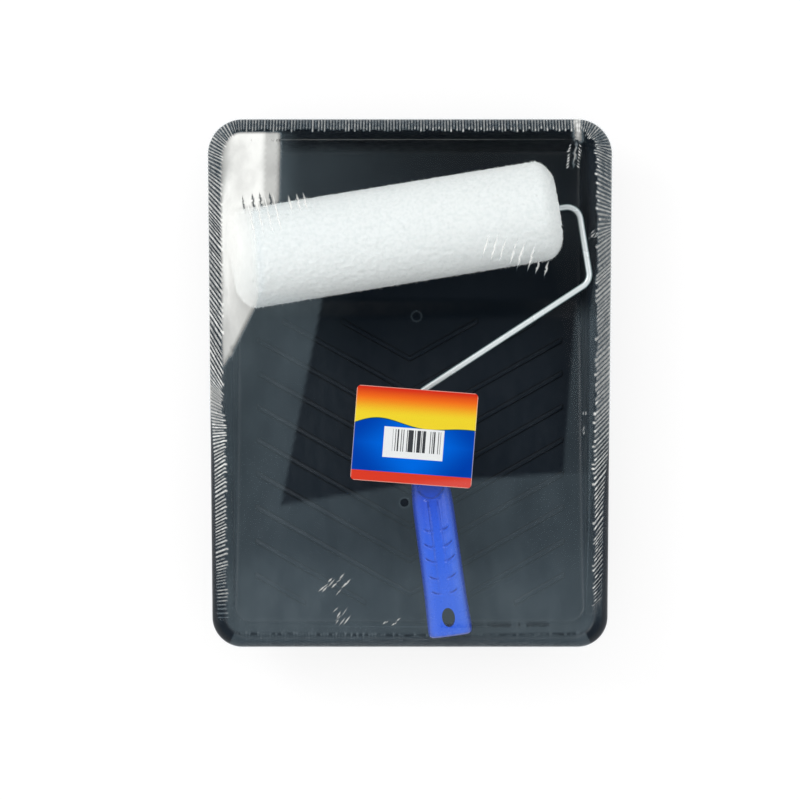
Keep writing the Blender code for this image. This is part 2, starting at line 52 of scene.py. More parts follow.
# Camera and studio.
CAMERA_PLACE = (-7.0 * MM, -11.9 * MM, 2062 * MM)
CAMERA_SPAN = 560 * MM  # width that the picture covers at the rim's height
CAMERA_REACH = 2000 * MM  # from the camera down to the rim
SENSOR = 36.0
FLOOR_SIZE = 40.0
SHELL_RADIUS = 12.0
SHELL_RING = (52, 24)  # degrees from straight up: all bright below the first, all dark above the second
SHELL_GLOW = (0.95, 0.06)  # how bright the shell is below and above
FLOOR_GLOW = 0.80  # light box floor: mostly its own light, so shadows stay faint
SKY_SIZE = 12.0
SKY_HEIGHT = 3.0
SKY_POWER = 428.0
SOFTBOXES = (  # name, place, size, power
    ("softbox_left", (-1.1, 0.7, 1.2), 0.7, 7.5),
    ("softbox_right", (1.1, 0.2, 1.3), 0.5, 1.5),
)

# Tray, from the outer lip inwards.
WALL = 2.0 * MM
TRAY_HALF_SHALLOW = 137.4 * MM
CORNER_DEEP = 25 * MM
CORNER_SHALLOW = 21 * MM
CORNER_SHRINK = (8 * MM, 5 * MM)  # how much smaller those radii are at the rim's inner edge
RIM_SIDE = 9.6 * MM
RIM_END = 6.7 * MM
RIM_GROW = 1.3 * MM  # the lip looks this much wider through the film folded round it
RIM_PROFILE = (  # share of the rim's width, height under the rim's top
    (0.00, 10.0 * MM),
    (0.03, 5.0 * MM),
    (0.14, 2.0 * MM),
    (0.36, 0.4 * MM),
    (0.62, 0.0 * MM),
    (0.86, 0.6 * MM),
    (1.00, 2.0 * MM),
)
SHOULDER_DROP = 12 * MM
SHOULDER_HALF_DEEP = 125.2 * MM
SHOULDER_HALF_SHALLOW = 124.0 * MM
SHOULDER_Y_DEEP = 174.8 * MM
SHOULDER_Y_SHALLOW = -168.4 * MM
FLOOR_HALF = 123.4 * MM
FLOOR_Y_DEEP = 167.0 * MM
RAMP_Y_SHALLOW = -167.8 * MM
CORNER_INSIDE = 12 * MM
WELL_END_Y = 60.2 * MM
CREASE_Y = 47.4 * MM
CREASE_Z = 10 * MM
RAMP_TOP_Z = 48.5 * MM
RAMP_TILT = atan2(RAMP_TOP_Z - CREASE_Z, CREASE_Y - RAMP_Y_SHALLOW)
BEND_REACH = 3.2 * MM  # half the length over which the floor's bends are rounded
FLOOR_INSET = 9 * MM
ROWS_SHALLOW = in_mm((-140, -95, -50, -5, 30))
ROWS_DEEP = in_mm((90, 120, 145))
ARC_STEPS = 18
RIM_STEPS = 3
FILLET_STEPS = 5
FILLET_REACH = (2.0 * MM, 2.6 * MM, 4.0 * MM)  # at the rim's inner edge, the shoulder, the floor

# Ribs and feet.
RIB_COUNT = 10
RIB_FIRST_APEX_Y = 17.5 * MM
RIB_PITCH = 23.77 * MM
RIB_RISE = 0.56
RIB_HALF_SPAN = 108.9 * MM
RIB_WIDTH = 2.8 * MM
RIB_HEIGHT = 1.0 * MM
RIB_SINK = 0.8 * MM
RIB_BEVEL = 0.3 * MM
RIB_TOP_Y = 44.8 * MM
RIB_BOTTOM_Y = -155.1 * MM
FOOT_X = 92 * MM
FOOT_Y = -146 * MM
FOOT_TOP = (44 * MM, 18 * MM)
FOOT_BOTTOM = (38 * MM, 13 * MM)
FOOT_WALL = 2.2 * MM
FOOT_SINK = 1.0 * MM
FOOT_ROOF = 1.2 * MM

# Roller, in the axle's frame.
SLEEVE_HALF = 113 * MM
SLEEVE_TURN = radians(9.25)
CORE_RADIUS = 22 * MM
PILE_RADIUS = 35.2 * MM
PILE_OVERHANG = 2.2 * MM
PILE_ROUND = (15 * MM, 24 * MM)
PILE_STEP = 1.2 * MM
PILE_AROUND = 180
PILE_END_STEPS = 16
TUFTS = ((3.2 * MM, 0.9 * MM), (1.2 * MM, 0.45 * MM))  # size and depth of the clumps in the nap
FIBRES = 9000
FIBRE_ROOT = 0.17 * MM
FIBRE_SUNK = 0.8 * MM
FIBRE_LEAN = 0.6 * MM
FIBRE_REACH = (0.7, 1.3)  # shortest and longest, mm
WIRE_RADIUS = 2.3 * MM
AXLE_END = 113.2 * MM
ARM_X = 129.2 * MM
ARM_Y = -53.7 * MM
HANDLE_LINE_X = -2.1 * MM
HANDLE_LINE_Y = -111.7 * MM
HANDLE_TURN = radians(1.42)
TANG_END_Y = -222 * MM
BEND_RADII = (9.5 * MM, 10 * MM, 9 * MM)
CLEAR = 0.3 * MM

# Handle: distance from the neck end, half width, half thickness.
HANDLE_START_Y = -161.1 * MM
HANDLE_SECTIONS = in_mm((
    (0.0, 7.0, 7.0),
    (1.6, 9.6, 8.8),
    (9.0, 12.4, 10.0),
    (26.0, 14.1, 11.4),
    (48.0, 14.4, 12.0),
    (72.0, 14.5, 11.8),
    (92.0, 14.7, 11.4),
    (108.0, 15.1, 10.6),
    (116.0, 15.3, 10.0),
    (119.2, 14.7, 8.8),
    (120.4, 13.0, 6.6),
))
HANDLE_END_ROWS = in_mm((0.4, 0.8, 1.2, -0.9, -0.5, -0.2))  # extra rings, the last three from its end
HANDLE_SQUARENESS = 2.6
HANDLE_AROUND = 96
HANDLE_STEP = 0.4 * MM
HANG_HOLE_AT = 107 * MM
HANG_HOLE = (4.5 * MM, 6.7 * MM)
GROOVES = in_mm((  # thumb grooves: distance from the neck end, half span
    (46.1, 8.5),
    (57.3, 10.0),
    (67.7, 10.4),
    (79.6, 9.4),
    (90.0, 9.0),
))
GROOVE_SAG = 80.0  # how quickly a groove's ends curve back to the neck, per metre
GROOVE_WIDTH = 0.7 * MM
GROOVE_DEPTH = 0.9 * MM
STRIP = (23.5 * MM, 93 * MM)  # where the recessed strip down the handle starts and ends
STRIP_HALF = 3.6 * MM
STRIP_DEPTH = 0.8 * MM
STRIP_EASE = (2 * MM, 8 * MM)  # how far it takes to sink at its start and to rise at its end
RIDGE_AT = 4.4 * MM
RIDGE_HEIGHT = 1.0 * MM
RIDGE_WIDTH = 1.0 * MM
RIDGE_FADE = (82 * MM, 30 * MM)  # the ridges are gone beyond the first, full before the second
GROOVE_LIP = (0.405 * MM, 1.6 * MM, 0.9 * MM)  # the raised lip past a groove: height, distance, width
NECK_RECESS = (23.8 * MM, 9.7 * MM, 1.5 * MM)  # how far it reaches, its half width and depth
NECK_BROW = 7 * MM  # how much less far the recess reaches at its sides

# Label.
LABEL_SIZE = (83.5 * MM, 65.7 * MM)
LABEL_CORNER = 3 * MM
LABEL_THICK = 0.35 * MM
LABEL_TURN = radians(-4.4)
LABEL_TILT = radians(5.1)
LABEL_BAND = 7.2 * MM  # height of the red foot
LABEL_EDGE = (0.55 * MM, 0.35 * MM)  # the pale line along the edge, faded in between these distances
INK_SOFT = 0.25 * MM
WARM_RED = 9 * MM  # the red fades out this far from the top
WARM_YELLOW = (6 * MM, 20 * MM)  # where the yellow starts and where it is full
WAVE_CREST_X = -22.5 * MM
WAVE_LENGTH = 74 * MM
WAVE_HEIGHT = 4.0 * MM
WAVE_FALL = 0.066  # how fast the wave's height falls to the right
WAVE_Y = 7.2 * MM
WAVE_LINE = 0.3 * MM  # half the width of the dark line along the wave
BLUE_CENTRE_Y = -6 * MM
BLUE_FADE = (12 * MM, 52 * MM)
PANEL_CENTRE = (-0.2 * MM, -4.9 * MM)
PANEL_HALF = (20.7 * MM, 10.6 * MM)
BARS_CENTRE = (1.8 * MM, -3.3 * MM)
BARS_HALF = (16.5 * MM, 7.6 * MM)
BAR_WIDTH = 0.5 * MM

# Film.
FILM_SKIRT = in_mm((  # rows of the turned-down edge: distance out from the rim, height under its top
    (0.5, 9.4),
    (0.8, 7.4),
    (0.9, 5.0),
    (0.8, 2.8),
    (0.6, 1.2),
    (0.2, 0.1),
))
FILM_BAND = 15 * MM  # width of the gathered band along the rim
FILM_BAND_ROWS = 21
FILM_CORNER = 11 * MM  # radius of the corners of the sheet inside the band
FILM_STEP = 0.42 * MM
TANGENT_REACH = 4  # steps each way over which the loop's direction is read
FILM_GRID = 2.4 * MM
FILM_LIFT = 0.8 * MM
FILM_SHINE_CAP = 0.1  # most that the film mirrors, however flat the look along it
FILM_SHINE = 0.07  # share of that which is shown: the rest is painted on as sheen
PLEAT_PITCH_SIDE = 2.3 * MM
PLEAT_PITCH_END = 2.1 * MM
PLEAT_HEIGHT = 0.5 * MM
PLEAT_SLANT_REACH = 10 * MM  # the pleats run straight on beyond this
PLEAT_EASE = 0.6 * MM  # half the length over which a pleat starts or ends
PLEAT_LENGTH_SPREAD = 2.4  # mm
PLEAT_GRAIN = 420.0  # how fine the unevenness of the milkiness and painted glints along a pleat is, per metre
PLEAT_TIP_GLINT = 0.8  # painted glints: the beads at the ends of the pleats on the right
CORNER_FOLD = 0.5  # milkiness of the broad fold near the top right corner
CORNER_FOLD_X = 117 * MM
CORNER_FOLD_WIDTH = 2.6 * MM
SHEEN_FROM = (8 * MM, 11 * MM)  # where the sheet's painted reflections set in, from the rim's edge inwards
# How the film is gathered along the left side, by y in mm: slope of the pleats, strength of their
# painted glints, where they start and end in from the edge (mm), milk and painted sheen between them,
# and the height share where they turn white with a painted glint.
GATHERS_LEFT = (
    (-172, 0.0, 0.00, 3.0, 9.0, 0.000, 0.50),
    (-152, 0.1, 0.35, 3.0, 9.4, 0.005, 0.45),
    (-120, 0.4, 0.60, 2.6, 9.6, 0.015, 0.42),
    (-60, 0.6, 0.80, 2.2, 10.0, 0.030, 0.38),
    (-32, 0.0, 0.75, 0.6, 10.4, 0.080, 0.35),
    (-8, -0.6, 0.40, -1.3, 8.4, 0.240, 0.34),
    (14, -1.5, 0.90, -1.3, 8.8, 0.030, 0.34),
    (60, -1.3, 0.72, -1.3, 9.6, 0.020, 0.32),
    (130, -1.1, 0.62, -1.3, 9.6, 0.030, 0.34),
    (155, -0.6, 0.55, -1.3, 9.4, 0.040, 0.40),
    (186, 0.0, 0.36, -0.8, 8.6, 0.050, 0.40),
)
GATHERS_RIGHT = (
    (-172, 0.0, 0.00, 3.6, 9.0, 0.000, 0.50),
    (-145, -1.0, 0.35, 3.6, 9.2, 0.005, 0.46),
    (-75, -1.3, 0.75, 3.2, 9.5, 0.010, 0.42),
    (-45, -1.0, 0.60, 0.0, 11.0, 0.030, 0.42),
    (0, -0.9, 0.34, -1.3, 9.6, 0.110, 0.28),
    (100, -0.8, 0.32, -1.3, 9.4, 0.120, 0.30),
    (120, 0.2, 0.36, -1.3, 9.6, 0.100, 0.36),
    (152, 0.4, 0.40, -1.3, 10.8, 0.070, 0.38),
    (186, 0.0, 0.36, -1.3, 10.4, 0.050, 0.38),
)
GATHERS_TOP = (0, 0.0, 0.36, -1.3, 7.2, 0.020, 0.42)
GATHERS_BOTTOM = (0, 0.0, 0.05, -1.3, 8.5, 0.055, 0.50)
# Reflections painted on the film, all places in mm. A dark patch lies in a faint painted sheen; its
# edges are lines
# through two points, each (place, value): x by y for the sides, y by x for the lower edge.
PATCH_LEFT = ((-84.6, -89.3), (56.6, -60.3))
PATCH_LOW_LEFT = ((-89.3, -84.6), (0.6, -69.3))
PATCH_LOW_RIGHT = ((0.6, -69.3), (105.8, -62.4))
PATCH_RIGHT = ((0.0, 110.4), (100.0, 117.7))
PATCH_SOFT = 1.2
PATCH_LOW_SOFT = 2.0
PATCH_RIGHT_SHARE = 0.70
SHEEN_ROUND_PATCH = 0.044
SHEEN_SWELLS = (  # amount, axis (0 for x), where it starts, where it is full
    (0.008, 0, -60.0, -90.0),
    (0.012, 1, -20.0, 30.0),
    (0.034, 1, -108.0, -150.0),
    (0.008, 0, 20.0, 60.0),
)
SHEEN_LEFT = 0.005
SHEEN_DEEP_END = (0.030, 0.006)  # at its left and its right
SHEEN_BESIDE_GLARE = 0.07
WELL_Y = (70.0, 100.0)  # the deep end's painted reflection sets in between these
WELL_TOP_Y = (168.0, 158.0)  # and ends between these
# The glare down the left side: its strengths, the x where each ends, and how softly.
GLARE_BROAD = 0.58
GLARE_EDGE = -99.0
GLARE_EDGE_LOW = (-132.0, -100.0)  # the broad glare's edge where it narrows beside the ramp
GLARE_NARROWS_Y = (5.0, 65.0)
GLARE_SOFT = 2.5
GLARE_TOP = 0.48
GLARE_TOP_EDGE = -91.0
GLARE_TOP_SOFT = 2.2
GLARE_BRIGHT = 0.27
GLARE_BRIGHT_EDGE = (-99.5, -104.0)
GLARE_BY_RIM = 0.28
GLARE_BY_RIM_EDGE = (-112.0, -127.0)
GLARE_START = -131.5
GLARE_START_SHARE = 0.35
GLARE_RAMP = (3.5, 11.0)  # how softly the glare starts, beside the sleeve and at the deep end
SLEEVE_CENTRE = (-10.6, 103.0)
SLEEVE_CLEAR_ALONG = (-112.0, -88.0)
SLEEVE_CLEAR_ACROSS = (36.0, 30.0)
VENT_RADIUS = 2.9 * MM
VENTS = ((4.3 * MM, 45.4 * MM), (-3.9 * MM, -82.6 * MM))
VENT_RINGS = ((1.0, 0.025), (1.28, 0.015), (1.6, 0.0))  # share of the radius, strength of the painted highlight round the hole
VENT_STEPS = 24

# Creases in the sheet; places and widths in mm.
SLEEVE_EDGE = ((-107.0, 119.0), (-7.0, 135.3))  # the sleeve's upper edge, y by x
CREASE_STEPS = 6
CREASE_LIFT = 0.5 * MM
# Dark creases take the painted sheen and glare away; pale creases carry a painted glint.
CREASE_DARK = -2.4
CREASE_GLINT = 0.8
DARK_CREASES = ((-114.6, 1.4), (-107.9, 2.4), (-102.8, 2.3), (-95.9, 2.3))  # x, width
LONG_CREASES = (-110.9, -105.5, -99.2, -93.0)  # x
SHORT_CREASES = (-82.6, -77.0, -72.4)  # x
CREASE_GROUPS = (  # centre, spread, count, length, angle in degrees, width
    ((128, 106), (1.5, 4), 4, 5, 40, 1.2),
    ((-53, -140), (9, 7), 9, 7, 42, 1.0),
    ((-49, -162), (8, 5), 8, 7, 52, 1.0),
    ((-12, -166), (12, 2), 6, 4, 40, 1.0),
    ((121, -27), (1.2, 8), 5, 4, 78, 1.1),
)


# ---------------------------------------------------------------- helpers

def mix(a, b, share):
    return a + (b - a) * share


def step_up(value, low, high):
    """0 below low, 1 above high, smooth between; low may be above high."""
    share = min(1.0, max(0.0, (value - low) / (high - low)))
    return share * share * (3 - 2 * share)


def bell(value, width):
    return exp(-((value / width) ** 2))


def tint(red, green, blue):
    """A screen colour in 0..255 as linear RGBA."""
    linear = []
    for channel in (red, green, blue):
        part = channel / 255
        linear.append(part / 12.92 if part <= 0.04045 else ((part + 0.055) / 1.055) ** 2.4)
    return (*linear, 1.0)


def curve_through(table, place, column):
    """Catmull-Rom value of one column of a table whose first column is the place."""
    index = 0
    while index < len(table) - 2 and table[index + 1][0] < place:
        index += 1
    before = table[max(index - 1, 0)][column]
    start = table[index][column]
    end = table[index + 1][column]
    after = table[min(index + 2, len(table) - 1)][column]
    share = (place - table[index][0]) / (table[index + 1][0] - table[index][0])
    share = min(1.0, max(0.0, share))
    return 0.5 * (
        2 * start
        + (end - before) * share
        + (2 * before - 5 * start + 4 * end - after) * share ** 2
        + (3 * start - before - 3 * end + after) * share ** 3
    )


def mesh_from(bm, name):
    mesh = bpy.data.meshes.new(name)
    bm.to_mesh(mesh)
    bm.free()
    return mesh


def helper_object(name, data, place=None):
    obj = bpy.data.objects.new(name, data)
    bpy.context.scene.collection.objects.link(obj)
    if place is not None:
        obj.matrix_world = place
    return obj


def baked(obj):
    """The object's mesh with its modifiers applied; the object itself is removed."""
    bpy.context.view_layer.update()
    depsgraph = bpy.context.evaluated_depsgraph_get()
    mesh = bpy.data.meshes.new_from_object(obj.evaluated_get(depsgraph))
    bpy.data.objects.remove(obj, do_unlink=True)
    return mesh


def bridge(bm, rings):
    """Faces from each closed ring of vertices to the next."""
    for a, b in zip(rings, rings[1:]):
        for i in range(len(a)):
            j = (i + 1) % len(a)
            bm.faces.new((a[i], a[j], b[j], b[i]))


def prism(bm, points, step):
    """A closed prism from a face through the points; returns its far face."""
    near = [bm.verts.new(point) for point in points]
    far = [bm.verts.new(Vector(point) + Vector(step)) for point in points]
    bridge(bm, [near, far])
    bm.faces.new(near[::-1])
    return bm.faces.new(far)


def carve(mesh, steps):
    """Boolean steps, each (operation, mesh), applied one after another; returns the new mesh."""
    obj = helper_object("carved", mesh)
    tools = []
    for operation, tool_mesh in steps:
        tool = helper_object("tool", tool_mesh)
        tools.append(tool)
        boolean = obj.modifiers.new("boolean", "BOOLEAN")
        boolean.operation = operation
        boolean.solver = "EXACT"
        boolean.object = tool
    result = baked(obj)
    for tool in tools:
        bpy.data.objects.remove(tool, do_unlink=True)
    return result


def piece(name, mesh, body, finish, replaces=(), place=None, sharp=35):
    """A finished piece: its own coordinates kept for its finish, placed, shaded, riding."""
    local = mesh.attributes.new("local", "FLOAT_VECTOR", "POINT")
    for value, vert in zip(local.data, mesh.vertices):
        value.vector = vert.co
    if place is not None:
        mesh.transform(place)
    obj = helper_object(name, mesh)
    mesh.materials.clear()
    mesh.materials.append(finish)
    mesh.shade_smooth()
    mesh.set_sharp_from_angle(angle=radians(sharp))
    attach(obj, body)
    if replaces:
        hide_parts(*replaces)
    return obj


# ---------------------------------------------------------------- material graphs

class Finish:
    """A material under construction; each method adds nodes and returns an output socket."""

    def __init__(self, name, own_place=True):
        self.material = bpy.data.materials.new(name)
        self.material.use_nodes = True
        self.nodes = self.material.node_tree.nodes
        self.links = self.material.node_tree.links
        self.surface = self.nodes["Principled BSDF"]
        self.output = self.nodes["Material Output"]
        if own_place:
            self.place = self.add("ShaderNodeAttribute", attribute_name="local").outputs["Vector"]
        else:
            self.place = self.add("ShaderNodeTexCoord").outputs["Object"]

    def add(self, kind, inputs=None, **settings):
        node = self.nodes.new(kind)
        for key, value in settings.items():
            setattr(node, key, value)
        for key, value in (inputs or {}).items():
            self.feed(node.inputs[key], value)
        return node

    def feed(self, socket, value):
        if isinstance(value, bpy.types.NodeSocket):
            self.links.new(value, socket)
        else:
            socket.default_value = value

    def set(self, **values):
        """Sets the surface's inputs; base_color stands for Base Color and so on."""
        for key, value in values.items():
            title = " ".join(word.capitalize() for word in key.split("_")).replace("Ior", "IOR")
            self.feed(self.surface.inputs[title], value)

    def math(self, operation, a, b=0.0):
        return self.add("ShaderNodeMath", {0: a, 1: b}, operation=operation).outputs[0]

    def smooth(self, value, low, high, to_low=0.0, to_high=1.0):
        ends = {"From Min": low, "From Max": high, "To Min": to_low, "To Max": to_high}
        inputs = {"Value": value, **ends}
        return self.add("ShaderNodeMapRange", inputs, interpolation_type="SMOOTHSTEP").outputs[0]

    def colour(self, share, a, b):
        return self.add("ShaderNodeMix", {0: share, 6: a, 7: b}, data_type="RGBA").outputs[2]

    def noise(self, size, detail=2.0, place=None):
        inputs = {"Vector": place or self.place, "Scale": 1 / size, "Detail": detail}
        return self.add("ShaderNodeTexNoise", inputs).outputs["Fac"]

    def stretched(self, scale):
        inputs = {"Vector": self.place, "Scale": scale}
        return self.add("ShaderNodeMapping", inputs).outputs[0]

    def axes(self):
        return self.add("ShaderNodeSeparateXYZ", {"Vector": self.place}).outputs

    def bump(self, height, distance, strength=1.0):
        inputs = {"Height": height, "Distance": distance, "Strength": strength}
        return self.add("ShaderNodeBump", inputs).outputs["Normal"]

    def attribute(self, name):
        return self.add("ShaderNodeAttribute", attribute_name=name).outputs["Fac"]


def tray_plastic():
    """Black recycled plastic: low sheen, fine grain, a few cloudy patches, painted shade in tight
    corners such as the rib roots.
    """
    f = Finish("tray_plastic")
    cloud = f.noise(60 * MM, 3.0)
    grain = f.noise(0.7 * MM, 3.0)
    scuffs = f.noise(5 * MM, 5.0, f.stretched((1.0, 0.25, 1.0)))
    base = f.colour(cloud, (0.0048, 0.0088, 0.0142, 1), (0.0072, 0.0120, 0.0182, 1))
    # Painted shade: ambient occlusion darkens the colour in tight corners such as the rib roots.
    painted_rib_root_shade = f.add("ShaderNodeAmbientOcclusion", {"Distance": 1.6 * MM}, samples=8).outputs["AO"]
    f.set(
        base_color=f.colour(f.smooth(painted_rib_root_shade, 0.55, 0.98), (0.001, 0.0013, 0.0018, 1), base),
        roughness=f.smooth(scuffs, 0.3, 0.75, 0.34, 0.5),
        specular_ior_level=0.35,
        normal=f.bump(grain, 0.04 * MM, 0.3),
    )
    return f.material


def blue_plastic():
    """Moulded handle: deeper blue at the neck, a little lighter to the end, painted shade in its
    grooves and hollows and on its sides.
    """
    f = Finish("blue_plastic")
    along = f.axes()[1]
    start = HANDLE_START_Y - 18 * MM
    fade = f.smooth(along, start, start - 45 * MM)
    flow = f.noise(26 * MM, 2.0, f.stretched((1.0, 0.15, 1.0)))
    base = f.colour(fade, tint(4, 66, 206), tint(34, 92, 226))
    base = f.colour(f.smooth(flow, 0.35, 0.75, 0.0, 0.3), base, tint(60, 120, 240))
    # Painted shade: the sides turned away from view are darker.
    painted_edge_shade = f.add("ShaderNodeLayerWeight", {"Blend": 0.5}).outputs["Facing"]
    base = f.colour(f.smooth(painted_edge_shade, 0.12, 0.7), base, tint(0, 50, 176))
    # Painted shade in the grooves and hollows, from ambient occlusion.
    painted_groove_shade = f.add("ShaderNodeAmbientOcclusion", {"Distance": 1.6 * MM}, samples=8, only_local=True)
    unshaded_share = f.smooth(painted_groove_shade.outputs["AO"], 0.55, 0.95)
    f.set(
        base_color=f.colour(unshaded_share, tint(0, 30, 130), base),
        roughness=f.smooth(f.noise(3 * MM, 4.0), 0.3, 0.7, 0.26, 0.34),
        specular_ior_level=0.5,
        normal=f.bump(f.noise(0.5 * MM, 2.0), 0.01 * MM, 0.3),
    )
    return f.material


def zinc_wire():
    """Zinc-plated wire: pale and smooth, with painted shade where it turns away from view, a little
    dull in places.
    """
    f = Finish("zinc_wire", own_place=False)
    cloud = f.noise(14 * MM, 3.0)
    pale = f.colour(cloud, (0.84, 0.90, 0.91, 1), (0.91, 0.97, 0.98, 1))
    # Painted shade: darker colour where the wire turns away from view.
    painted_edge_shade = f.add("ShaderNodeLayerWeight", {"Blend": 0.5}).outputs["Facing"]
    f.set(
        base_color=f.colour(f.smooth(painted_edge_shade, 0.06, 0.5), pale, (0.17, 0.25, 0.26, 1)),
        metallic=0.22,
        roughness=f.smooth(cloud, 0.3, 0.7, 0.2, 0.28),
    )
    return f.material


def white_pile():
    """Fleece nap: bright, soft, with painted shade between its tufts."""
    f = Finish("white_pile")
    tufts = f.noise(2.4 * MM, 4.0)
    fine = f.noise(0.45 * MM, 2.0)
    # Painted shade: darker colour between the tufts.
    base = f.colour(f.smooth(tufts, 0.28, 0.62), (0.84, 0.89, 0.88, 1), (0.92, 0.96, 0.95, 1))
    f.set(
        base_color=base,
        roughness=0.95,
        specular_ior_level=0.1,
        sheen_weight=0.25,
        sheen_roughness=0.6,
        normal=f.bump(f.math("ADD", tufts, fine), 0.5 * MM, 0.5),
    )
    return f.material


def cage_plastic():
    f = Finish("cage_plastic", own_place=False)
    base = f.colour(f.noise(8 * MM, 3.0), (0.022, 0.023, 0.025, 1), (0.036, 0.037, 0.04, 1))
    f.set(base_color=base, roughness=f.smooth(f.noise(2 * MM, 3.0), 0.3, 0.7, 0.36, 0.5),
          normal=f.bump(f.noise(0.7 * MM), 0.08 * MM, 0.4))
    return f.material


def bush_nylon():
    f = Finish("bush_nylon", own_place=False)
    base = f.colour(f.noise(5 * MM, 3.0), (0.74, 0.73, 0.68, 1), (0.84, 0.83, 0.79, 1))
    f.set(base_color=base, roughness=0.38, subsurface_weight=0.1, subsurface_scale=1 * MM,
          normal=f.bump(f.noise(0.6 * MM), 0.05 * MM, 0.3))
    return f.material


def core_board():
    """Wound card tube: the seam lines of its spiral show as faint stripes."""
    f = Finish("core_board", own_place=False)
    x, _, z = f.axes()
    spiral = f.math("SINE", f.math("MULTIPLY", f.math("ADD", x, f.math("MULTIPLY", z, 0.5)), 260.0))
    fibre = f.noise(1.2 * MM, 4.0, f.stretched((0.3, 1.0, 1.0)))
    base = f.colour(fibre, (0.52, 0.50, 0.44, 1), (0.70, 0.68, 0.62, 1))
    base = f.colour(f.smooth(spiral, 0.93, 1.0), base, (0.38, 0.36, 0.31, 1))
    f.set(base_color=base, roughness=0.8, normal=f.bump(fibre, 0.1 * MM, 0.4))
    return f.material


def inside(f, value, centre, half):
    """1 where value is within half of centre, with the ink's soft edges."""
    distance = f.math("ABSOLUTE", f.math("SUBTRACT", value, centre))
    return f.smooth(distance, half + INK_SOFT / 2, half - INK_SOFT / 2)


def inside_box(f, x, y, centre, half):
    return f.math("MULTIPLY", inside(f, x, centre[0], half[0]), inside(f, y, centre[1], half[1]))


def label_print():
    """Glossy card: warm band on top, blue field under a wave, white panel of bars, red foot."""
    f = Finish("label_print")
    x, y, _ = f.axes()
    side = LABEL_SIZE[0] / 2
    top = LABEL_SIZE[1] / 2

    warm = f.colour(f.smooth(y, top, top - WARM_RED), tint(214, 46, 30), tint(246, 112, 30))
    yellow = f.smooth(y, top - WARM_YELLOW[0], top - WARM_YELLOW[1])
    warm = f.colour(yellow, warm, tint(244, 216, 50))

    past_crest = f.math("SUBTRACT", x, WAVE_CREST_X)
    swell = f.math("COSINE", f.math("MULTIPLY", past_crest, 2 * pi / WAVE_LENGTH))
    height = f.math("SUBTRACT", WAVE_HEIGHT, f.math("MULTIPLY", past_crest, WAVE_FALL))
    wave = f.math("ADD", WAVE_Y, f.math("MULTIPLY", swell, height))
    above = f.math("SUBTRACT", y, wave)

    down = f.math("ABSOLUTE", f.math("SUBTRACT", y, BLUE_CENTRE_Y))
    from_middle = f.math("ADD", f.math("ABSOLUTE", x), down)
    blue = f.colour(f.smooth(from_middle, *BLUE_FADE), tint(0, 106, 226), tint(0, 64, 172))
    ink = f.colour(f.smooth(above, -INK_SOFT / 2, INK_SOFT / 2), blue, warm)
    ink = f.colour(inside(f, above, 0.0, WAVE_LINE), ink, tint(28, 92, 74))

    ink = f.colour(inside_box(f, x, y, PANEL_CENTRE, PANEL_HALF), ink, tint(238, 240, 240))
    cell = f.math("FLOOR", f.math("MULTIPLY", f.math("ADD", x, 40 * MM), 1 / BAR_WIDTH))
    pick = f.add("ShaderNodeTexWhiteNoise", {"W": cell}, noise_dimensions="1D").outputs["Value"]
    bars = f.math("MULTIPLY", f.math("GREATER_THAN", pick, 0.5),
                  inside_box(f, x, y, BARS_CENTRE, BARS_HALF))
    ink = f.colour(bars, ink, tint(62, 64, 68))

    foot_top = LABEL_BAND - top
    foot = f.smooth(y, foot_top + INK_SOFT / 2, foot_top - INK_SOFT / 2)
    ink = f.colour(foot, ink, tint(222, 62, 42))
    edge_x = f.smooth(f.math("ABSOLUTE", x), side - LABEL_EDGE[0], side - LABEL_EDGE[1])
    edge_y = f.smooth(f.math("ABSOLUTE", y), top - LABEL_EDGE[0], top - LABEL_EDGE[1])
    edge = f.math("MULTIPLY", f.math("MAXIMUM", edge_x, edge_y), 0.45)
    ink = f.colour(edge, ink, tint(226, 214, 200))
    f.set(
        base_color=ink,
        roughness=f.smooth(f.noise(0.8 * MM, 3.0), 0.3, 0.7, 0.38, 0.48),
        specular_ior_level=0.1,
        normal=f.bump(f.noise(14 * MM, 3.0), 0.3 * MM, 0.3),
    )
    return f.material


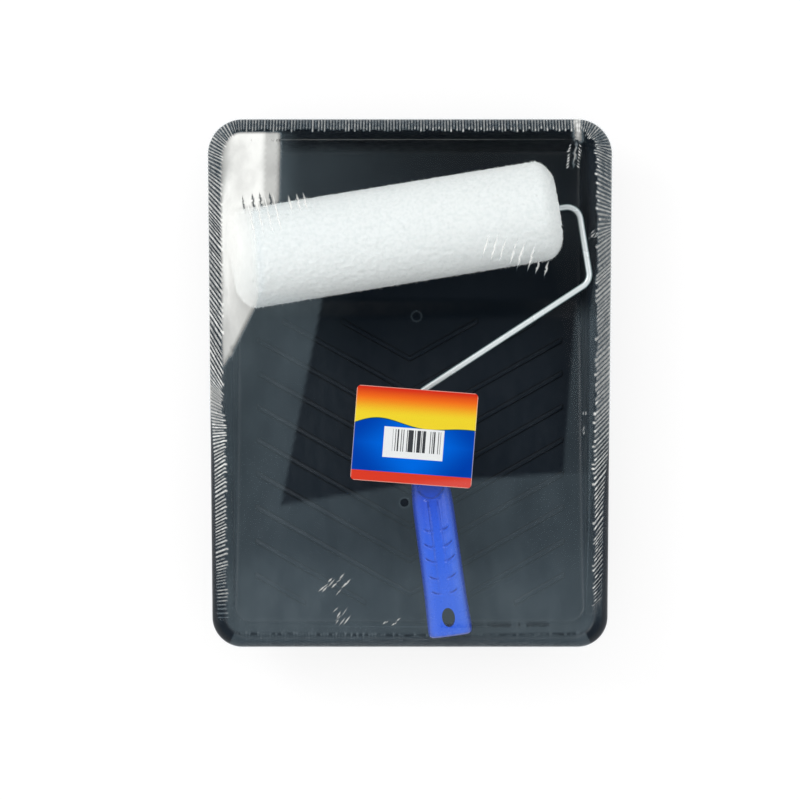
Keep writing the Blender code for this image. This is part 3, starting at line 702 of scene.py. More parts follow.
def clear_film():
    """Clear film: see-through with a thin reflection, milky and with painted reflections, glare and
    glints where the mesh's attribute says.
    """
    f = Finish("clear_film")
    # The attribute holds milkiness together with painted reflections, glare and glints on the film.
    haze_and_sheen = f.attribute("haze_and_sheen")
    clouds = f.noise(16 * MM, 4.0, f.stretched((1.0, 0.5, 1.0)))
    haze_and_sheen = f.math("MULTIPLY", haze_and_sheen, f.smooth(clouds, 0.25, 0.75, 0.84, 1.12))
    haze_and_sheen_colour = f.colour(f.smooth(haze_and_sheen, 0.05, 0.3), (0.66, 0.88, 1.0, 1), (0.97, 0.98, 0.95, 1))
    normal = f.bump(f.noise(9 * MM, 3.0), 0.4 * MM, 0.2)
    clear = f.add("ShaderNodeBsdfTransparent", {"Color": (0.99, 0.995, 1.0, 1)}).outputs[0]
    gloss = f.add("ShaderNodeBsdfGlossy", {"Color": (1, 1, 1, 1), "Roughness": 0.07,
                                           "Normal": normal}).outputs[0]
    facing = f.add("ShaderNodeFresnel", {"IOR": 1.5, "Normal": normal}).outputs[0]
    shine = f.math("MULTIPLY", f.math("MINIMUM", facing, FILM_SHINE_CAP), FILM_SHINE)
    bare = f.add("ShaderNodeMixShader", {0: shine, 1: clear, 2: gloss})
    f.set(base_color=haze_and_sheen_colour, roughness=0.35, specular_ior_level=0.3)
    mixed = f.add("ShaderNodeMixShader", {0: haze_and_sheen, 1: bare.outputs[0], 2: f.surface.outputs[0]})
    rays = f.add("ShaderNodeLightPath").outputs
    unseen = f.math("MAXIMUM", rays["Is Shadow Ray"], rays["Is Diffuse Ray"])
    open_air = f.add("ShaderNodeBsdfTransparent").outputs[0]
    shown = f.add("ShaderNodeMixShader", {0: unseen, 1: mixed.outputs[0], 2: open_air})
    f.links.new(shown.outputs[0], f.output.inputs["Surface"])
    return f.material


# ---------------------------------------------------------------- tray

def straight_rows():
    """Y values of the rows between the corners, close together where the floor bends."""
    rows = list(ROWS_SHALLOW)
    for bend in (CREASE_Y, WELL_END_Y):
        rows += [bend + BEND_REACH * share for share in (-1, -0.6, -0.2, 0.2, 0.6, 1)]
    return rows + list(ROWS_DEEP)


def half_outline(half_deep, half_shallow, y_deep, y_shallow, r_deep, r_shallow):
    """The +X half of a tapered rounded outline, from its shallow edge to its deep edge."""
    def half_at(y):
        return mix(half_shallow, half_deep, (y - y_shallow) / (y_deep - y_shallow))

    points = []
    for step in range(ARC_STEPS + 1):
        angle = -pi / 2 + pi / 2 * step / ARC_STEPS
        y = y_shallow + r_shallow * (1 + sin(angle))
        points.append((half_at(y) - r_shallow * (1 - cos(angle)), y))
    for y in straight_rows():
        points.append((half_at(y), y))
    for step in range(ARC_STEPS + 1):
        angle = pi / 2 * step / ARC_STEPS
        y = y_deep - r_deep * (1 - sin(angle))
        points.append((half_at(y) - r_deep * (1 - cos(angle)), y))
    return points


def rim_outline(share):
    """The outline at one share of the rim's width, from its outer edge inwards."""
    side = RIM_SIDE * share - RIM_GROW * (1 - share)
    end = RIM_END * share - RIM_GROW * (1 - share)
    return half_outline(
        TRAY_HIGH.x - side,
        TRAY_HALF_SHALLOW - side,
        TRAY_HIGH.y - end,
        TRAY_LOW.y + end,
        CORNER_DEEP - CORNER_SHRINK[0] * share,
        CORNER_SHALLOW - CORNER_SHRINK[1] * share,
    )


def sharp_floor(y):
    if y >= WELL_END_Y:
        return WALL
    if y >= CREASE_Y:
        return mix(CREASE_Z, WALL, (y - CREASE_Y) / (WELL_END_Y - CREASE_Y))
    return CREASE_Z + (CREASE_Y - y) * tan(RAMP_TILT)


def floor_height(y):
    """The floor along the tray, with its two bends rounded."""
    for bend in (CREASE_Y, WELL_END_Y):
        if abs(y - bend) < BEND_REACH:
            low, middle, high = (sharp_floor(bend + BEND_REACH * side) for side in (-1, 0, 1))
            share = (y - bend + BEND_REACH) / (2 * BEND_REACH)
            return mix(mix(low, middle, share), mix(middle, high, share), share)
    return sharp_floor(y)


def rounded_corner(before, corner, after, reach):
    """A short curve that replaces the corner of a section."""
    start = corner + (before - corner).normalized() * min(reach, (before - corner).length * 0.45)
    end = corner + (after - corner).normalized() * min(reach, (after - corner).length * 0.45)
    points = []
    for step in range(FILLET_STEPS + 1):
        share = step / FILLET_STEPS
        points.append(start.lerp(corner, share).lerp(corner.lerp(end, share), share))
    return points


def wall_sections():
    """For each place round the tray, the points from the rim's inner edge down onto the floor."""
    rim_z = TRAY_HIGH.z - RIM_PROFILE[-1][1]
    crest = half_ring(rim_outline(RIM_PROFILE[-2][0]), TRAY_HIGH.z - RIM_PROFILE[-2][1])
    edge = half_ring(rim_outline(1.0), rim_z)
    shoulder = half_ring(half_outline(
        SHOULDER_HALF_DEEP, SHOULDER_HALF_SHALLOW, SHOULDER_Y_DEEP, SHOULDER_Y_SHALLOW,
        CORNER_INSIDE + 2 * MM, CORNER_INSIDE,
    ), TRAY_HIGH.z - SHOULDER_DROP)
    floor = half_ring(half_outline(
        FLOOR_HALF, FLOOR_HALF, FLOOR_Y_DEEP, RAMP_Y_SHALLOW, CORNER_INSIDE, CORNER_INSIDE,
    ), floor_height)
    inner = half_ring(half_outline(
        FLOOR_HALF - FLOOR_INSET, FLOOR_HALF - FLOOR_INSET, FLOOR_Y_DEEP - FLOOR_INSET,
        RAMP_Y_SHALLOW + FLOOR_INSET, CORNER_INSIDE / 2, CORNER_INSIDE / 2,
    ), floor_height)
    sections = []
    for a, b, c, d, e in zip(crest, edge, shoulder, floor, inner):
        points = rounded_corner(a, b, c, FILLET_REACH[0])
        points += rounded_corner(b, c, d, FILLET_REACH[1])
        points += rounded_corner(c, d, e, FILLET_REACH[2])
        sections.append(points + [e])
    return sections


def half_ring(outline, height):
    return [Vector((x, y, height(y) if callable(height) else height)) for x, y in outline]


def rim_rings():
    rings = []
    last = len(RIM_PROFILE) - 1
    for index in range(last):
        for step in range(RIM_STEPS):
            if index == last - 1 and step:
                break
            place = index + step / RIM_STEPS
            table = [(i, share, drop) for i, (share, drop) in enumerate(RIM_PROFILE)]
            share = curve_through(table, place, 1)
            drop = curve_through(table, place, 2)
            rings.append(half_ring(rim_outline(share), TRAY_HIGH.z - drop))
    return rings


def tray_surface():
    """The tray's upper surface, one open sheet, thickened downwards into a shell."""
    outlines = rim_rings()
    sections = wall_sections()
    outlines += [[section[k] for section in sections] for k in range(len(sections[0]))]
    bm = bmesh.new()
    rings = []
    for outline in outlines:
        right = [bm.verts.new(p) for p in outline]
        left = [bm.verts.new((-p.x, p.y, p.z)) for p in outline]
        rings.append(right + left[::-1])
    bridge(bm, rings)
    for i in range(len(right) - 1):
        bm.faces.new((right[i], right[i + 1], left[i + 1], left[i]))
    obj = helper_object("tray_surface", mesh_from(bm, "tray_surface"))
    shell = obj.modifiers.new("thickness", "SOLIDIFY")
    shell.thickness = WALL
    shell.offset = -1.0
    shell.use_even_offset = True
    return baked(obj)


def rib_outlines(apex_y, start_x, end_x):
    """One chevron, or its two arms where the apex is cut off, as corner points in plan."""
    tall = RIB_WIDTH / 2 * (1 + RIB_RISE ** 2) ** 0.5
    upper = [(x, apex_y + RIB_RISE * x + tall) for x in (start_x, end_x)]
    lower = [(x, apex_y + RIB_RISE * x - tall) for x in (end_x, start_x)]
    if start_x > 0:
        return [upper + lower, [(-x, y) for x, y in reversed(upper + lower)]]
    mirrored = [(-upper[1][0], upper[1][1]), (-lower[0][0], lower[0][1])]
    return [[upper[0], upper[1], lower[0], lower[1], mirrored[1], mirrored[0]]]


def ramp_ribs():
    """All the ribs as bars with eased top edges, sunk a little into the ramp."""
    bm = bmesh.new()
    normal = Vector((0, sin(RAMP_TILT), cos(RAMP_TILT)))
    crowns = []
    for index in range(RIB_COUNT):
        apex = RIB_FIRST_APEX_Y - RIB_PITCH * index
        start = max(0.0, (RIB_BOTTOM_Y - apex) / RIB_RISE)
        end = min(RIB_HALF_SPAN, (RIB_TOP_Y - apex) / RIB_RISE)
        for points in rib_outlines(apex, start, end):
            base = [Vector((x, y, sharp_floor(y))) - normal * RIB_SINK for x, y in points]
            crowns += prism(bm, base, normal * (RIB_SINK + RIB_HEIGHT)).edges
    bmesh.ops.recalc_face_normals(bm, faces=bm.faces)
    bmesh.ops.bevel(bm, geom=crowns, offset=RIB_BEVEL, segments=2, affect="EDGES", profile=0.5)
    return mesh_from(bm, "ribs")


def frustum(bm, top, bottom, top_rule, z_bottom, x, y):
    """A closed four-sided block that narrows downwards; its top follows a rule of y."""
    high = []
    low = []
    for i, j in ((-1, -1), (1, -1), (1, 1), (-1, 1)):
        top_y = y + j * top[1] / 2
        high.append(bm.verts.new((x + i * top[0] / 2, top_y, top_rule(top_y))))
        low.append(bm.verts.new((x + i * bottom[0] / 2, y + j * bottom[1] / 2, z_bottom)))
    bm.faces.new(high)
    bm.faces.new(low[::-1])
    uprights = []
    for i in range(4):
        j = (i + 1) % 4
        face = bm.faces.new((low[i], low[j], high[j], high[i]))
        uprights.append(face.edges[1])
    return uprights


def foot_mesh(name, inset, sink, z_bottom):
    def top_rule(y):
        return sharp_floor(y) - sink

    bm = bmesh.new()
    top = (FOOT_TOP[0] - 2 * inset, FOOT_TOP[1] - 2 * inset)
    bottom = (FOOT_BOTTOM[0] - 2 * inset, FOOT_BOTTOM[1] - 2 * inset)
    uprights = []
    for side in (-1, 1):
        uprights += frustum(bm, top, bottom, top_rule, z_bottom, side * FOOT_X, FOOT_Y)
    bmesh.ops.bevel(bm, geom=uprights, offset=2.5 * MM, segments=4, affect="EDGES", profile=0.5)
    return mesh_from(bm, name)


def build_tray():
    mesh = carve(tray_surface(), (
        ("UNION", ramp_ribs()),
        ("UNION", foot_mesh("feet", 0.0, FOOT_SINK, 0.0)),
        ("DIFFERENCE", foot_mesh("feet_hollow", FOOT_WALL, WALL + FOOT_ROOF, -2 * MM)),
    ))
    piece("tray_shell", mesh, "tray", tray_plastic(), ("tray",), sharp=30)


# ---------------------------------------------------------------- roller

def axle_frame():
    """The axle's frame from the frame's own joint: x along the axle, z up."""
    joint = next(j for j in FRAME["joints"] if j["name"] == "sleeve_spin")
    along = Vector(joint["axis"]).normalized()
    up = Vector((0, 0, 1))
    painted_edge_shade = Matrix((along, up.cross(along), up)).transposed().to_4x4()
    return Matrix.Translation(joint["pos_m"]) @ painted_edge_shade


def pile_profile():
    """(along the axle, radius, outward along, outward across) from one end's bore to the other's."""
    long_round, deep_round = PILE_ROUND
    first = asin(1 - (PILE_RADIUS - CORE_RADIUS - CLEAR) / deep_round)
    straight = SLEEVE_HALF + PILE_OVERHANG - long_round * cos(first)
    end = []
    for step in range(PILE_END_STEPS + 1):
        angle = mix(first, pi / 2, step / PILE_END_STEPS)
        radius = PILE_RADIUS - deep_round * (1 - sin(angle))
        end.append((straight + long_round * cos(angle), radius, cos(angle), sin(angle)))
    count = int(2 * straight / PILE_STEP)
    middle = [(straight - 2 * straight * k / count, PILE_RADIUS, 0.0, 1.0) for k in range(1, count)]
    return end + middle + [(-a, r, -n, c) for a, r, n, c in reversed(end)]


def tuft_depth(place):
    """How far the nap sinks at a place: 0 at the tips of its tufts."""
    depth = 0.0
    for size, reach in TUFTS:
        depth += reach * (0.5 + 0.5 * noise.noise(place / size))
    return depth


def add_fibre(bm, root, tip, side):
    """One thin tapering hair."""
    other = side.cross(tip - root).normalized() * FIBRE_ROOT
    side = side.normalized() * FIBRE_ROOT
    base = [bm.verts.new(root + offset) for offset in (side, other - side, -other - side)]
    point = bm.verts.new(tip)
    for i in range(3):
        bm.faces.new((base[i], base[(i + 1) % 3], point))
    bm.faces.new(base[::-1])


def on_nap(profile_row, angle, shift=0.0):
    """A place on the nap's plain surface and the direction straight out of it."""
    along, radius, out_along, out_across = profile_row
    round_about = Vector((0, cos(angle), sin(angle)))
    place = Vector((along + shift, 0, 0)) + round_about * radius
    return place, Vector((out_along, 0, 0)) + round_about * out_across


def add_fibres(bm, profile):
    """Loose hairs that stand out of the tufts and lean at random."""
    draw = random.Random(SEED)
    for _ in range(FIBRES):
        row = draw.choice(profile)
        shift = draw.uniform(-0.5, 0.5) * PILE_STEP
        place, outward = on_nap(row, draw.uniform(0, 2 * pi), shift)
        root = place - outward * FIBRE_SUNK
        lean = Vector((draw.uniform(-1, 1), draw.uniform(-1, 1), draw.uniform(-1, 1))) * FIBRE_LEAN
        tip = root + outward * draw.uniform(*FIBRE_REACH) * MM + lean * (1 - abs(row[2]) * 0.8)
        add_fibre(bm, root, tip, outward.cross(Vector((1, 0.3, 0.2))))


def build_pile(axle):
    bm = bmesh.new()
    profile = pile_profile()
    rings = []
    for row in profile:
        ring = []
        for step in range(PILE_AROUND):
            place, outward = on_nap(row, 2 * pi * step / PILE_AROUND)
            ring.append(bm.verts.new(place - outward * tuft_depth(place)))
        rings.append(ring)
    bridge(bm, rings + rings[:1])
    add_fibres(bm, profile)
    bmesh.ops.recalc_face_normals(bm, faces=bm.faces)
    piece("fleece", mesh_from(bm, "fleece"), "roller_cage", white_pile(),
          ("sleeve_pile",), axle, sharp=80)


def handle_point(along, across=0.0, up=0.0):
    """A point on the handle's own line, which leaves the frame's last bend at a slight angle."""
    start = Vector((HANDLE_LINE_X, HANDLE_LINE_Y, 0))
    line = Vector((-sin(HANDLE_TURN), -cos(HANDLE_TURN), 0))
    side = Vector((cos(HANDLE_TURN), -sin(HANDLE_TURN), 0))
    run = (HANDLE_LINE_Y - HANDLE_START_Y) + along
    return start + line * run + side * across + Vector((0, 0, up))


def bent_path(corners, radii, steps=14):
    """Straight runs between corners, with each inner corner rounded to its bend radius."""
    path = [corners[0]]
    for before, corner, after, radius in zip(corners, corners[1:], corners[2:], radii):
        back = (before - corner).normalized()
        ahead = (after - corner).normalized()
        half = back.angle(ahead) / 2
        inward = (back + ahead).normalized()
        centre = corner + inward * (radius / sin(half))
        start = corner + back * (radius / tan(half)) - centre
        end = corner + ahead * (radius / tan(half)) - centre
        axis = start.cross(end)
        sweep = start.angle(end)
        for step in range(steps + 1):
            path.append(centre + Matrix.Rotation(sweep * step / steps, 3, axis) @ start)
    path.append(corners[-1])
    return path


def build_wire(axle):
    corners = [
        Vector((-AXLE_END, 0, 0)),
        Vector((ARM_X, 0, 0)),
        Vector((ARM_X, ARM_Y, 0)),
        Vector((HANDLE_LINE_X, HANDLE_LINE_Y, 0)),
        handle_point(HANDLE_START_Y - TANG_END_Y),
    ]
    curve = bpy.data.curves.new("wire", "CURVE")
    curve.dimensions = "3D"
    curve.bevel_depth = WIRE_RADIUS
    curve.bevel_resolution = 6
    curve.use_fill_caps = True
    path = bent_path(corners, BEND_RADII)
    spline = curve.splines.new("POLY")
    spline.points.add(len(path) - 1)
    for point, place in zip(spline.points, path):
        point.co = (*place, 1.0)
    mesh = baked(helper_object("wire", curve))
    piece("bent_wire", mesh, "roller_frame", ZINC, ("wire_frame",), axle, sharp=50)


def handle_relief(along, across):
    """How far the handle's top stands over its plain section: strip, ridges, grooves, recess."""
    off = abs(across)
    window = step_up(along, STRIP[0], STRIP[0] + STRIP_EASE[0])
    window *= step_up(along, STRIP[1], STRIP[1] - STRIP_EASE[1])
    lift = -STRIP_DEPTH * window * step_up(off, STRIP_HALF + 0.5 * MM, STRIP_HALF - 0.3 * MM)
    lift += RIDGE_HEIGHT * window * step_up(along, *RIDGE_FADE) * bell(off - RIDGE_AT, RIDGE_WIDTH)
    lip_height, lip_away, lip_width = GROOVE_LIP
    for centre, span in GROOVES:
        line = centre - GROOVE_SAG * max(0.0, off - STRIP_HALF) ** 2
        ends = step_up(off, span + 0.8 * MM, span - 0.8 * MM)
        ends *= step_up(off, STRIP_HALF - 1.4 * MM, STRIP_HALF + 0.4 * MM)
        lift -= GROOVE_DEPTH * ends * bell(along - line, GROOVE_WIDTH)
        lift += lip_height * ends * bell(along - line - lip_away, lip_width)
    reach, half, depth = NECK_RECESS
    brow = reach - NECK_BROW * (across / half) ** 2
    recess = step_up(along, brow + 0.5 * MM, brow - 0.5 * MM) * step_up(off, half, half - 1.5 * MM)
    return lift - depth * recess


def handle_ring(bm, along):
    half_width = curve_through(HANDLE_SECTIONS, along, 1)
    half_thick = curve_through(HANDLE_SECTIONS, along, 2)
    ring = []
    for step in range(HANDLE_AROUND):
        angle = 2 * pi * step / HANDLE_AROUND
        power = 2 / HANDLE_SQUARENESS
        across = half_width * abs(cos(angle)) ** power * (1 if cos(angle) >= 0 else -1)
        up = half_thick * abs(sin(angle)) ** power * (1 if sin(angle) >= 0 else -1)
        if up > 0:
            up += handle_relief(along, across) * step_up(up, 0.0, 3 * MM)
        ring.append(bm.verts.new(handle_point(along, across, up)))
    return ring


def oval_rod(half_across, half_along, length, place):
    bm = bmesh.new()
    bmesh.ops.create_cone(bm, cap_ends=True, segments=48, radius1=1.0, radius2=1.0, depth=length)
    mesh = mesh_from(bm, "rod")
    mesh.transform(place @ Matrix.Diagonal((half_across, half_along, 1, 1)))
    return mesh


def build_handle(axle):
    bm = bmesh.new()
    length = HANDLE_SECTIONS[-1][0]
    count = int(length / HANDLE_STEP)
    tight = [row if row > 0 else length + row for row in HANDLE_END_ROWS]
    places = sorted([length * k / count for k in range(count + 1)] + tight)
    rings = [handle_ring(bm, along) for along in places]
    bridge(bm, rings)
    bm.faces.new(rings[0][::-1])
    bm.faces.new(rings[-1])
    bmesh.ops.recalc_face_normals(bm, faces=bm.faces)
    turn = Matrix.Rotation(-HANDLE_TURN, 4, "Z")
    hole = oval_rod(*HANG_HOLE, 60 * MM, Matrix.Translation(handle_point(HANG_HOLE_AT)) @ turn)
    bore_length = (HANDLE_START_Y - TANG_END_Y) + 2 * MM
    middle = handle_point(HANDLE_START_Y - TANG_END_Y + 1 * MM - bore_length / 2)
    lying = Matrix.Translation(middle) @ turn @ Matrix.Rotation(pi / 2, 4, "X")
    bore = oval_rod(WIRE_RADIUS + CLEAR, WIRE_RADIUS + CLEAR, bore_length, lying)
    mesh = carve(mesh_from(bm, "handle"), (("DIFFERENCE", hole), ("DIFFERENCE", bore)))
    piece("grip", mesh, "roller_frame", blue_plastic(), ("handle",), axle, sharp=50)


# ---------------------------------------------------------------- label and film

def label_matrix():
    low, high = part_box("label")
    return (
        Matrix.Translation((low + high) / 2)
        @ Matrix.Rotation(LABEL_TILT, 4, "X")
        @ Matrix.Rotation(LABEL_TURN, 4, "Z")
    )


def rounded_rectangle(width, height, corner, steps=8):
    points = []
    for sx, sy, quarter in ((1, 1, 0), (-1, 1, 1), (-1, -1, 2), (1, -1, 3)):
        for step in range(steps + 1):
            angle = pi / 2 * (quarter + step / steps)
            x = sx * (width / 2 - corner) + corner * cos(angle)
            y = sy * (height / 2 - corner) + corner * sin(angle)
            points.append((x, y))
    return points


def build_label():
    bm = bmesh.new()
    outline = rounded_rectangle(*LABEL_SIZE, LABEL_CORNER)
    prism(bm, [(x, y, -LABEL_THICK / 2) for x, y in outline], (0, 0, LABEL_THICK))
    bmesh.ops.recalc_face_normals(bm, faces=bm.faces)
    piece("card_label", mesh_from(bm, "label"), "film", label_print(), ("label",),
          label_matrix())


def rim_loop():
    """Points evenly spaced round the rim's outer edge, with their outward directions in plan."""
    half = rim_outline(0.0)
    corners = [Vector((x, y)) for x, y in half] + [Vector((-x, y)) for x, y in reversed(half)]
    lengths = [(b - a).length for a, b in zip(corners, corners[1:] + corners[:1])]
    count = int(sum(lengths) / FILM_STEP)
    gap = sum(lengths) / count
    points = []
    index = 0
    walked = 0.0
    for step in range(count):
        target = step * gap
        while walked + lengths[index] < target:
            walked += lengths[index]
            index += 1
        share = (target - walked) / lengths[index]
        points.append(corners[index].lerp(corners[(index + 1) % len(corners)], share))
    outward = []
    for i in range(count):
        run = points[(i + TANGENT_REACH) % count] - points[i - TANGENT_REACH]
        outward.append(Vector((run.y, -run.x)).normalized())
    return points, outward, gap


def on_long_side(place):
    return abs(place.x) > 0.9 * TRAY_HIGH.x


def gathers(place):
    """The row of the gathers' table that holds at a place on the rim."""
    if not on_long_side(place):
        return GATHERS_TOP if place.y > 0 else GATHERS_BOTTOM
    table = GATHERS_RIGHT if place.x > 0 else GATHERS_LEFT
    return [curve_through(table, place.y / MM, column) for column in range(7)]


def pleat_phases(points, rules, gap):
    """Running count of pleats at each point of the loop, with an uneven spacing."""
    phase = 0.0
    phases = []
    for place, rule in zip(points, rules):
        pitch = PLEAT_PITCH_END
        if on_long_side(place):
            pitch = PLEAT_PITCH_SIDE * (1 + rule[1] ** 2) ** 0.5
            pitch *= 1 + 0.5 * noise.noise(Vector((place.x * 90, place.y * 90, 0.0)))
        phase += gap / pitch
        phases.append(phase)
    return phases


def band_point(phase, inward, rule, place, base):
    """Lift, and milkiness with painted glints and reflections, of the gathered band at one distance in
    from the rim's outer edge.
    """
    _, _, strength, start, end, milk_and_sheen, threshold = rule
    number = floor(phase)
    height = 1 - abs(2 * (phase - number) - 1)
    chance = noise.cell(Vector((number + 0.5, 7.3, 2.1)))
    reach = (end + PLEAT_LENGTH_SPREAD * (abs(chance) - 0.5)) * MM
    window = step_up(inward, start * MM - PLEAT_EASE, start * MM + PLEAT_EASE)
    window *= step_up(inward, reach + 2 * PLEAT_EASE, reach)
    ridge = step_up(height, threshold, threshold + 0.4)
    grain = 1 + 0.7 * noise.noise(Vector((place.x, place.y, 0)) * PLEAT_GRAIN + Vector((0, 0, 1)))
    # Painted glints along the pleats' ridges.
    level = strength * ridge * (0.5 + 0.5 * abs(chance)) * max(0.1, grain)
    # Painted glints: small beads at the inner ends of every other pleat on the right.
    tip = step_up(place.x, 0.0, 1.0 * MM) * bell(inward - reach + 0.3 * MM, 0.7 * MM)
    tip *= ridge * (number % 2) * step_up(strength, 0.3, 0.4)
    fold = bell(place.x - CORNER_FOLD_X, CORNER_FOLD_WIDTH) * step_up(place.y, 0.0, 1.0 * MM)
    haze_and_sheen = window * (milk_and_sheen + level) + PLEAT_TIP_GLINT * tip + CORNER_FOLD * fold * grain
    return PLEAT_HEIGHT * window * height, base * step_up(inward, *SHEEN_FROM) + haze_and_sheen


def over_sleeve(x, y):
    """1 where the film lies over the sleeve, 0 beside it and at its far end; x and y in mm."""
    dx = x - SLEEVE_CENTRE[0]
    dy = y - SLEEVE_CENTRE[1]
    along = dx * cos(SLEEVE_TURN) + dy * sin(SLEEVE_TURN)
    across = dy * cos(SLEEVE_TURN) - dx * sin(SLEEVE_TURN)
    return step_up(along, *SLEEVE_CLEAR_ALONG) * step_up(abs(across), *SLEEVE_CLEAR_ACROSS)


def line_at(line, place):
    """The value at a place on a line through two points, each (place, value)."""
    (start, low), (end, high) = line
    return mix(low, high, (place - start) / (end - start))


def dark_patch(x, y):
    """0 inside the dark patch, 1 in the painted sheen round it, in between over the tray's right wall.
    """
    left = step_up(line_at(PATCH_LEFT, y) - x, -PATCH_SOFT, PATCH_SOFT) * step_up(y, 62.0, 56.0)
    low_edge = line_at(PATCH_LOW_LEFT if x < PATCH_LOW_LEFT[1][0] else PATCH_LOW_RIGHT, x)
    low = step_up(low_edge - y, -PATCH_LOW_SOFT, PATCH_LOW_SOFT)
    right = step_up(x - line_at(PATCH_RIGHT, y), -PATCH_SOFT, PATCH_SOFT) * step_up(y, 60.0, 40.0)
    return max(left, low, PATCH_RIGHT_SHARE * right)


def sheen(x, y):
    """Soft reflections painted on the film as a share of white: a faint sheen round a dark patch, and
    glare.
    """
    x = x / MM
    y = y / MM
    milk_and_sheen = SHEEN_ROUND_PATCH
    for amount, axis, none_at, full_at in SHEEN_SWELLS:
        milk_and_sheen += amount * step_up((x, y)[axis], none_at, full_at)
    haze_and_sheen = dark_patch(x, y) * milk_and_sheen + SHEEN_LEFT * step_up(x, -30.0, -60.0)
    deep_end = step_up(y, *WELL_Y) * step_up(y, *WELL_TOP_Y)
    haze_and_sheen += deep_end * mix(*SHEEN_DEEP_END, step_up(x, -90.0, 50.0))
    haze_and_sheen += SHEEN_BESIDE_GLARE * step_up(x, -74.0, -98.0) * step_up(y, 112.0, 124.0)

    edge = GLARE_EDGE
    if y <= WELL_Y[1]:
        from_low, to_high = GLARE_NARROWS_Y
        edge = mix(*GLARE_EDGE_LOW, min(1.0, max(0.0, (y - from_low) / (to_high - from_low))))
    glare = GLARE_BROAD * step_up(edge - x, -GLARE_SOFT, GLARE_SOFT) * step_up(y, 0.0, 25.0)
    above = step_up(GLARE_TOP_EDGE - x, -GLARE_TOP_SOFT, GLARE_TOP_SOFT) * step_up(y, 100.0, 104.0)
    glare = max(glare, GLARE_TOP * above)
    glare += GLARE_BRIGHT * step_up(x, *GLARE_BRIGHT_EDGE) * step_up(y, 60.0, 100.0)
    beside_sleeve = step_up(y, 35.0, 58.0) * step_up(y, 140.0, 115.0)
    glare += GLARE_BY_RIM * step_up(x, *GLARE_BY_RIM_EDGE) * beside_sleeve
    ramp = mix(*GLARE_RAMP, step_up(y, 120.0, 160.0))
    glare *= mix(GLARE_START_SHARE, 1.0, step_up(x, GLARE_START, GLARE_START + ramp))
    glare *= 1 - over_sleeve(x, y)
    return haze_and_sheen + glare


def film_base(tree, x, y):
    """Height of the taut film at a place in plan, from the CAD film under it."""
    hit = tree.ray_cast(Vector((x, y, 0.5)), Vector((0, 0, -1)))[0]
    return (hit.z if hit else TRAY_HIGH.z) + FILM_LIFT


def add_band(bm, tree, values):
    """The gathered edge: skirt rows down the outside, then rows in over the rim."""
    points, outward, gap = rim_loop()
    rules = [gathers(place) for place in points]
    phases = pleat_phases(points, rules, gap)
    rows = []
    for out, drop in FILM_SKIRT:
        row = []
        for place, direction in zip(points, outward):
            spot = place + direction * out
            row.append(bm.verts.new((spot.x, spot.y, TRAY_HIGH.z - drop)))
            values.append(0.0)
        rows.append(row)
    for k in range(FILM_BAND_ROWS):
        inward = (FILM_BAND + RIM_GROW) * (k + 0.6) / FILM_BAND_ROWS - RIM_GROW
        row = []
        for place, direction, phase, rule in zip(points, outward, phases, rules):
            spot = place - direction * (inward + RIM_GROW)
            if on_long_side(place):
                spot.y += rule[1] * min(inward, PLEAT_SLANT_REACH)
            lift, haze_and_sheen = band_point(phase, inward, rule, spot, sheen(spot.x, spot.y))
            z = max(film_base(tree, spot.x, spot.y), TRAY_HIGH.z + 0.5 * MM) + lift
            row.append(bm.verts.new((spot.x, spot.y, z)))
            values.append(min(1.0, haze_and_sheen))
        rows.append(row)
    bridge(bm, rows)
    return rows[-1]


class Creases:
    """Spindle-shaped pleats in the sheet: lines of points with a raised middle; pale ones carry a
    painted glint, dark ones take the painted sheen away.
    """

    def __init__(self):
        self.points = []
        self.levels = []
        self.edges = []

    def add(self, start, end, width, level):
        run = end - start
        across = Vector((-run.y, run.x)).normalized() * width * 0.8
        first = len(self.points)
        for step in range(CREASE_STEPS + 1):
            share = step / CREASE_STEPS
            swell = max(0.12, sin(pi * share))
            for side in (-1, 0, 1):
                self.points.append(start + run * share + across * side * swell)
                self.levels.append(level * swell if side == 0 else 0.0)
        for index in range(first, first + 3 * CREASE_STEPS):
            self.edges.append((index, index + 3))

    def group(self, draw, centre, spread, count, length, angle, width):
        """A bunch of roughly parallel pleats scattered over an area."""
        for _ in range(count):
            middle = centre + Vector((draw.uniform(-1, 1) * spread[0], draw.uniform(-1, 1) * spread[1]))
            turn = radians(angle + draw.uniform(-9, 9))
            half = Vector((cos(turn), sin(turn))) * length * draw.uniform(0.35, 0.8)
            own_width = width * draw.uniform(0.6, 1.3)
            self.add(middle - half, middle + half, own_width, CREASE_GLINT * draw.uniform(0.4, 1.0))


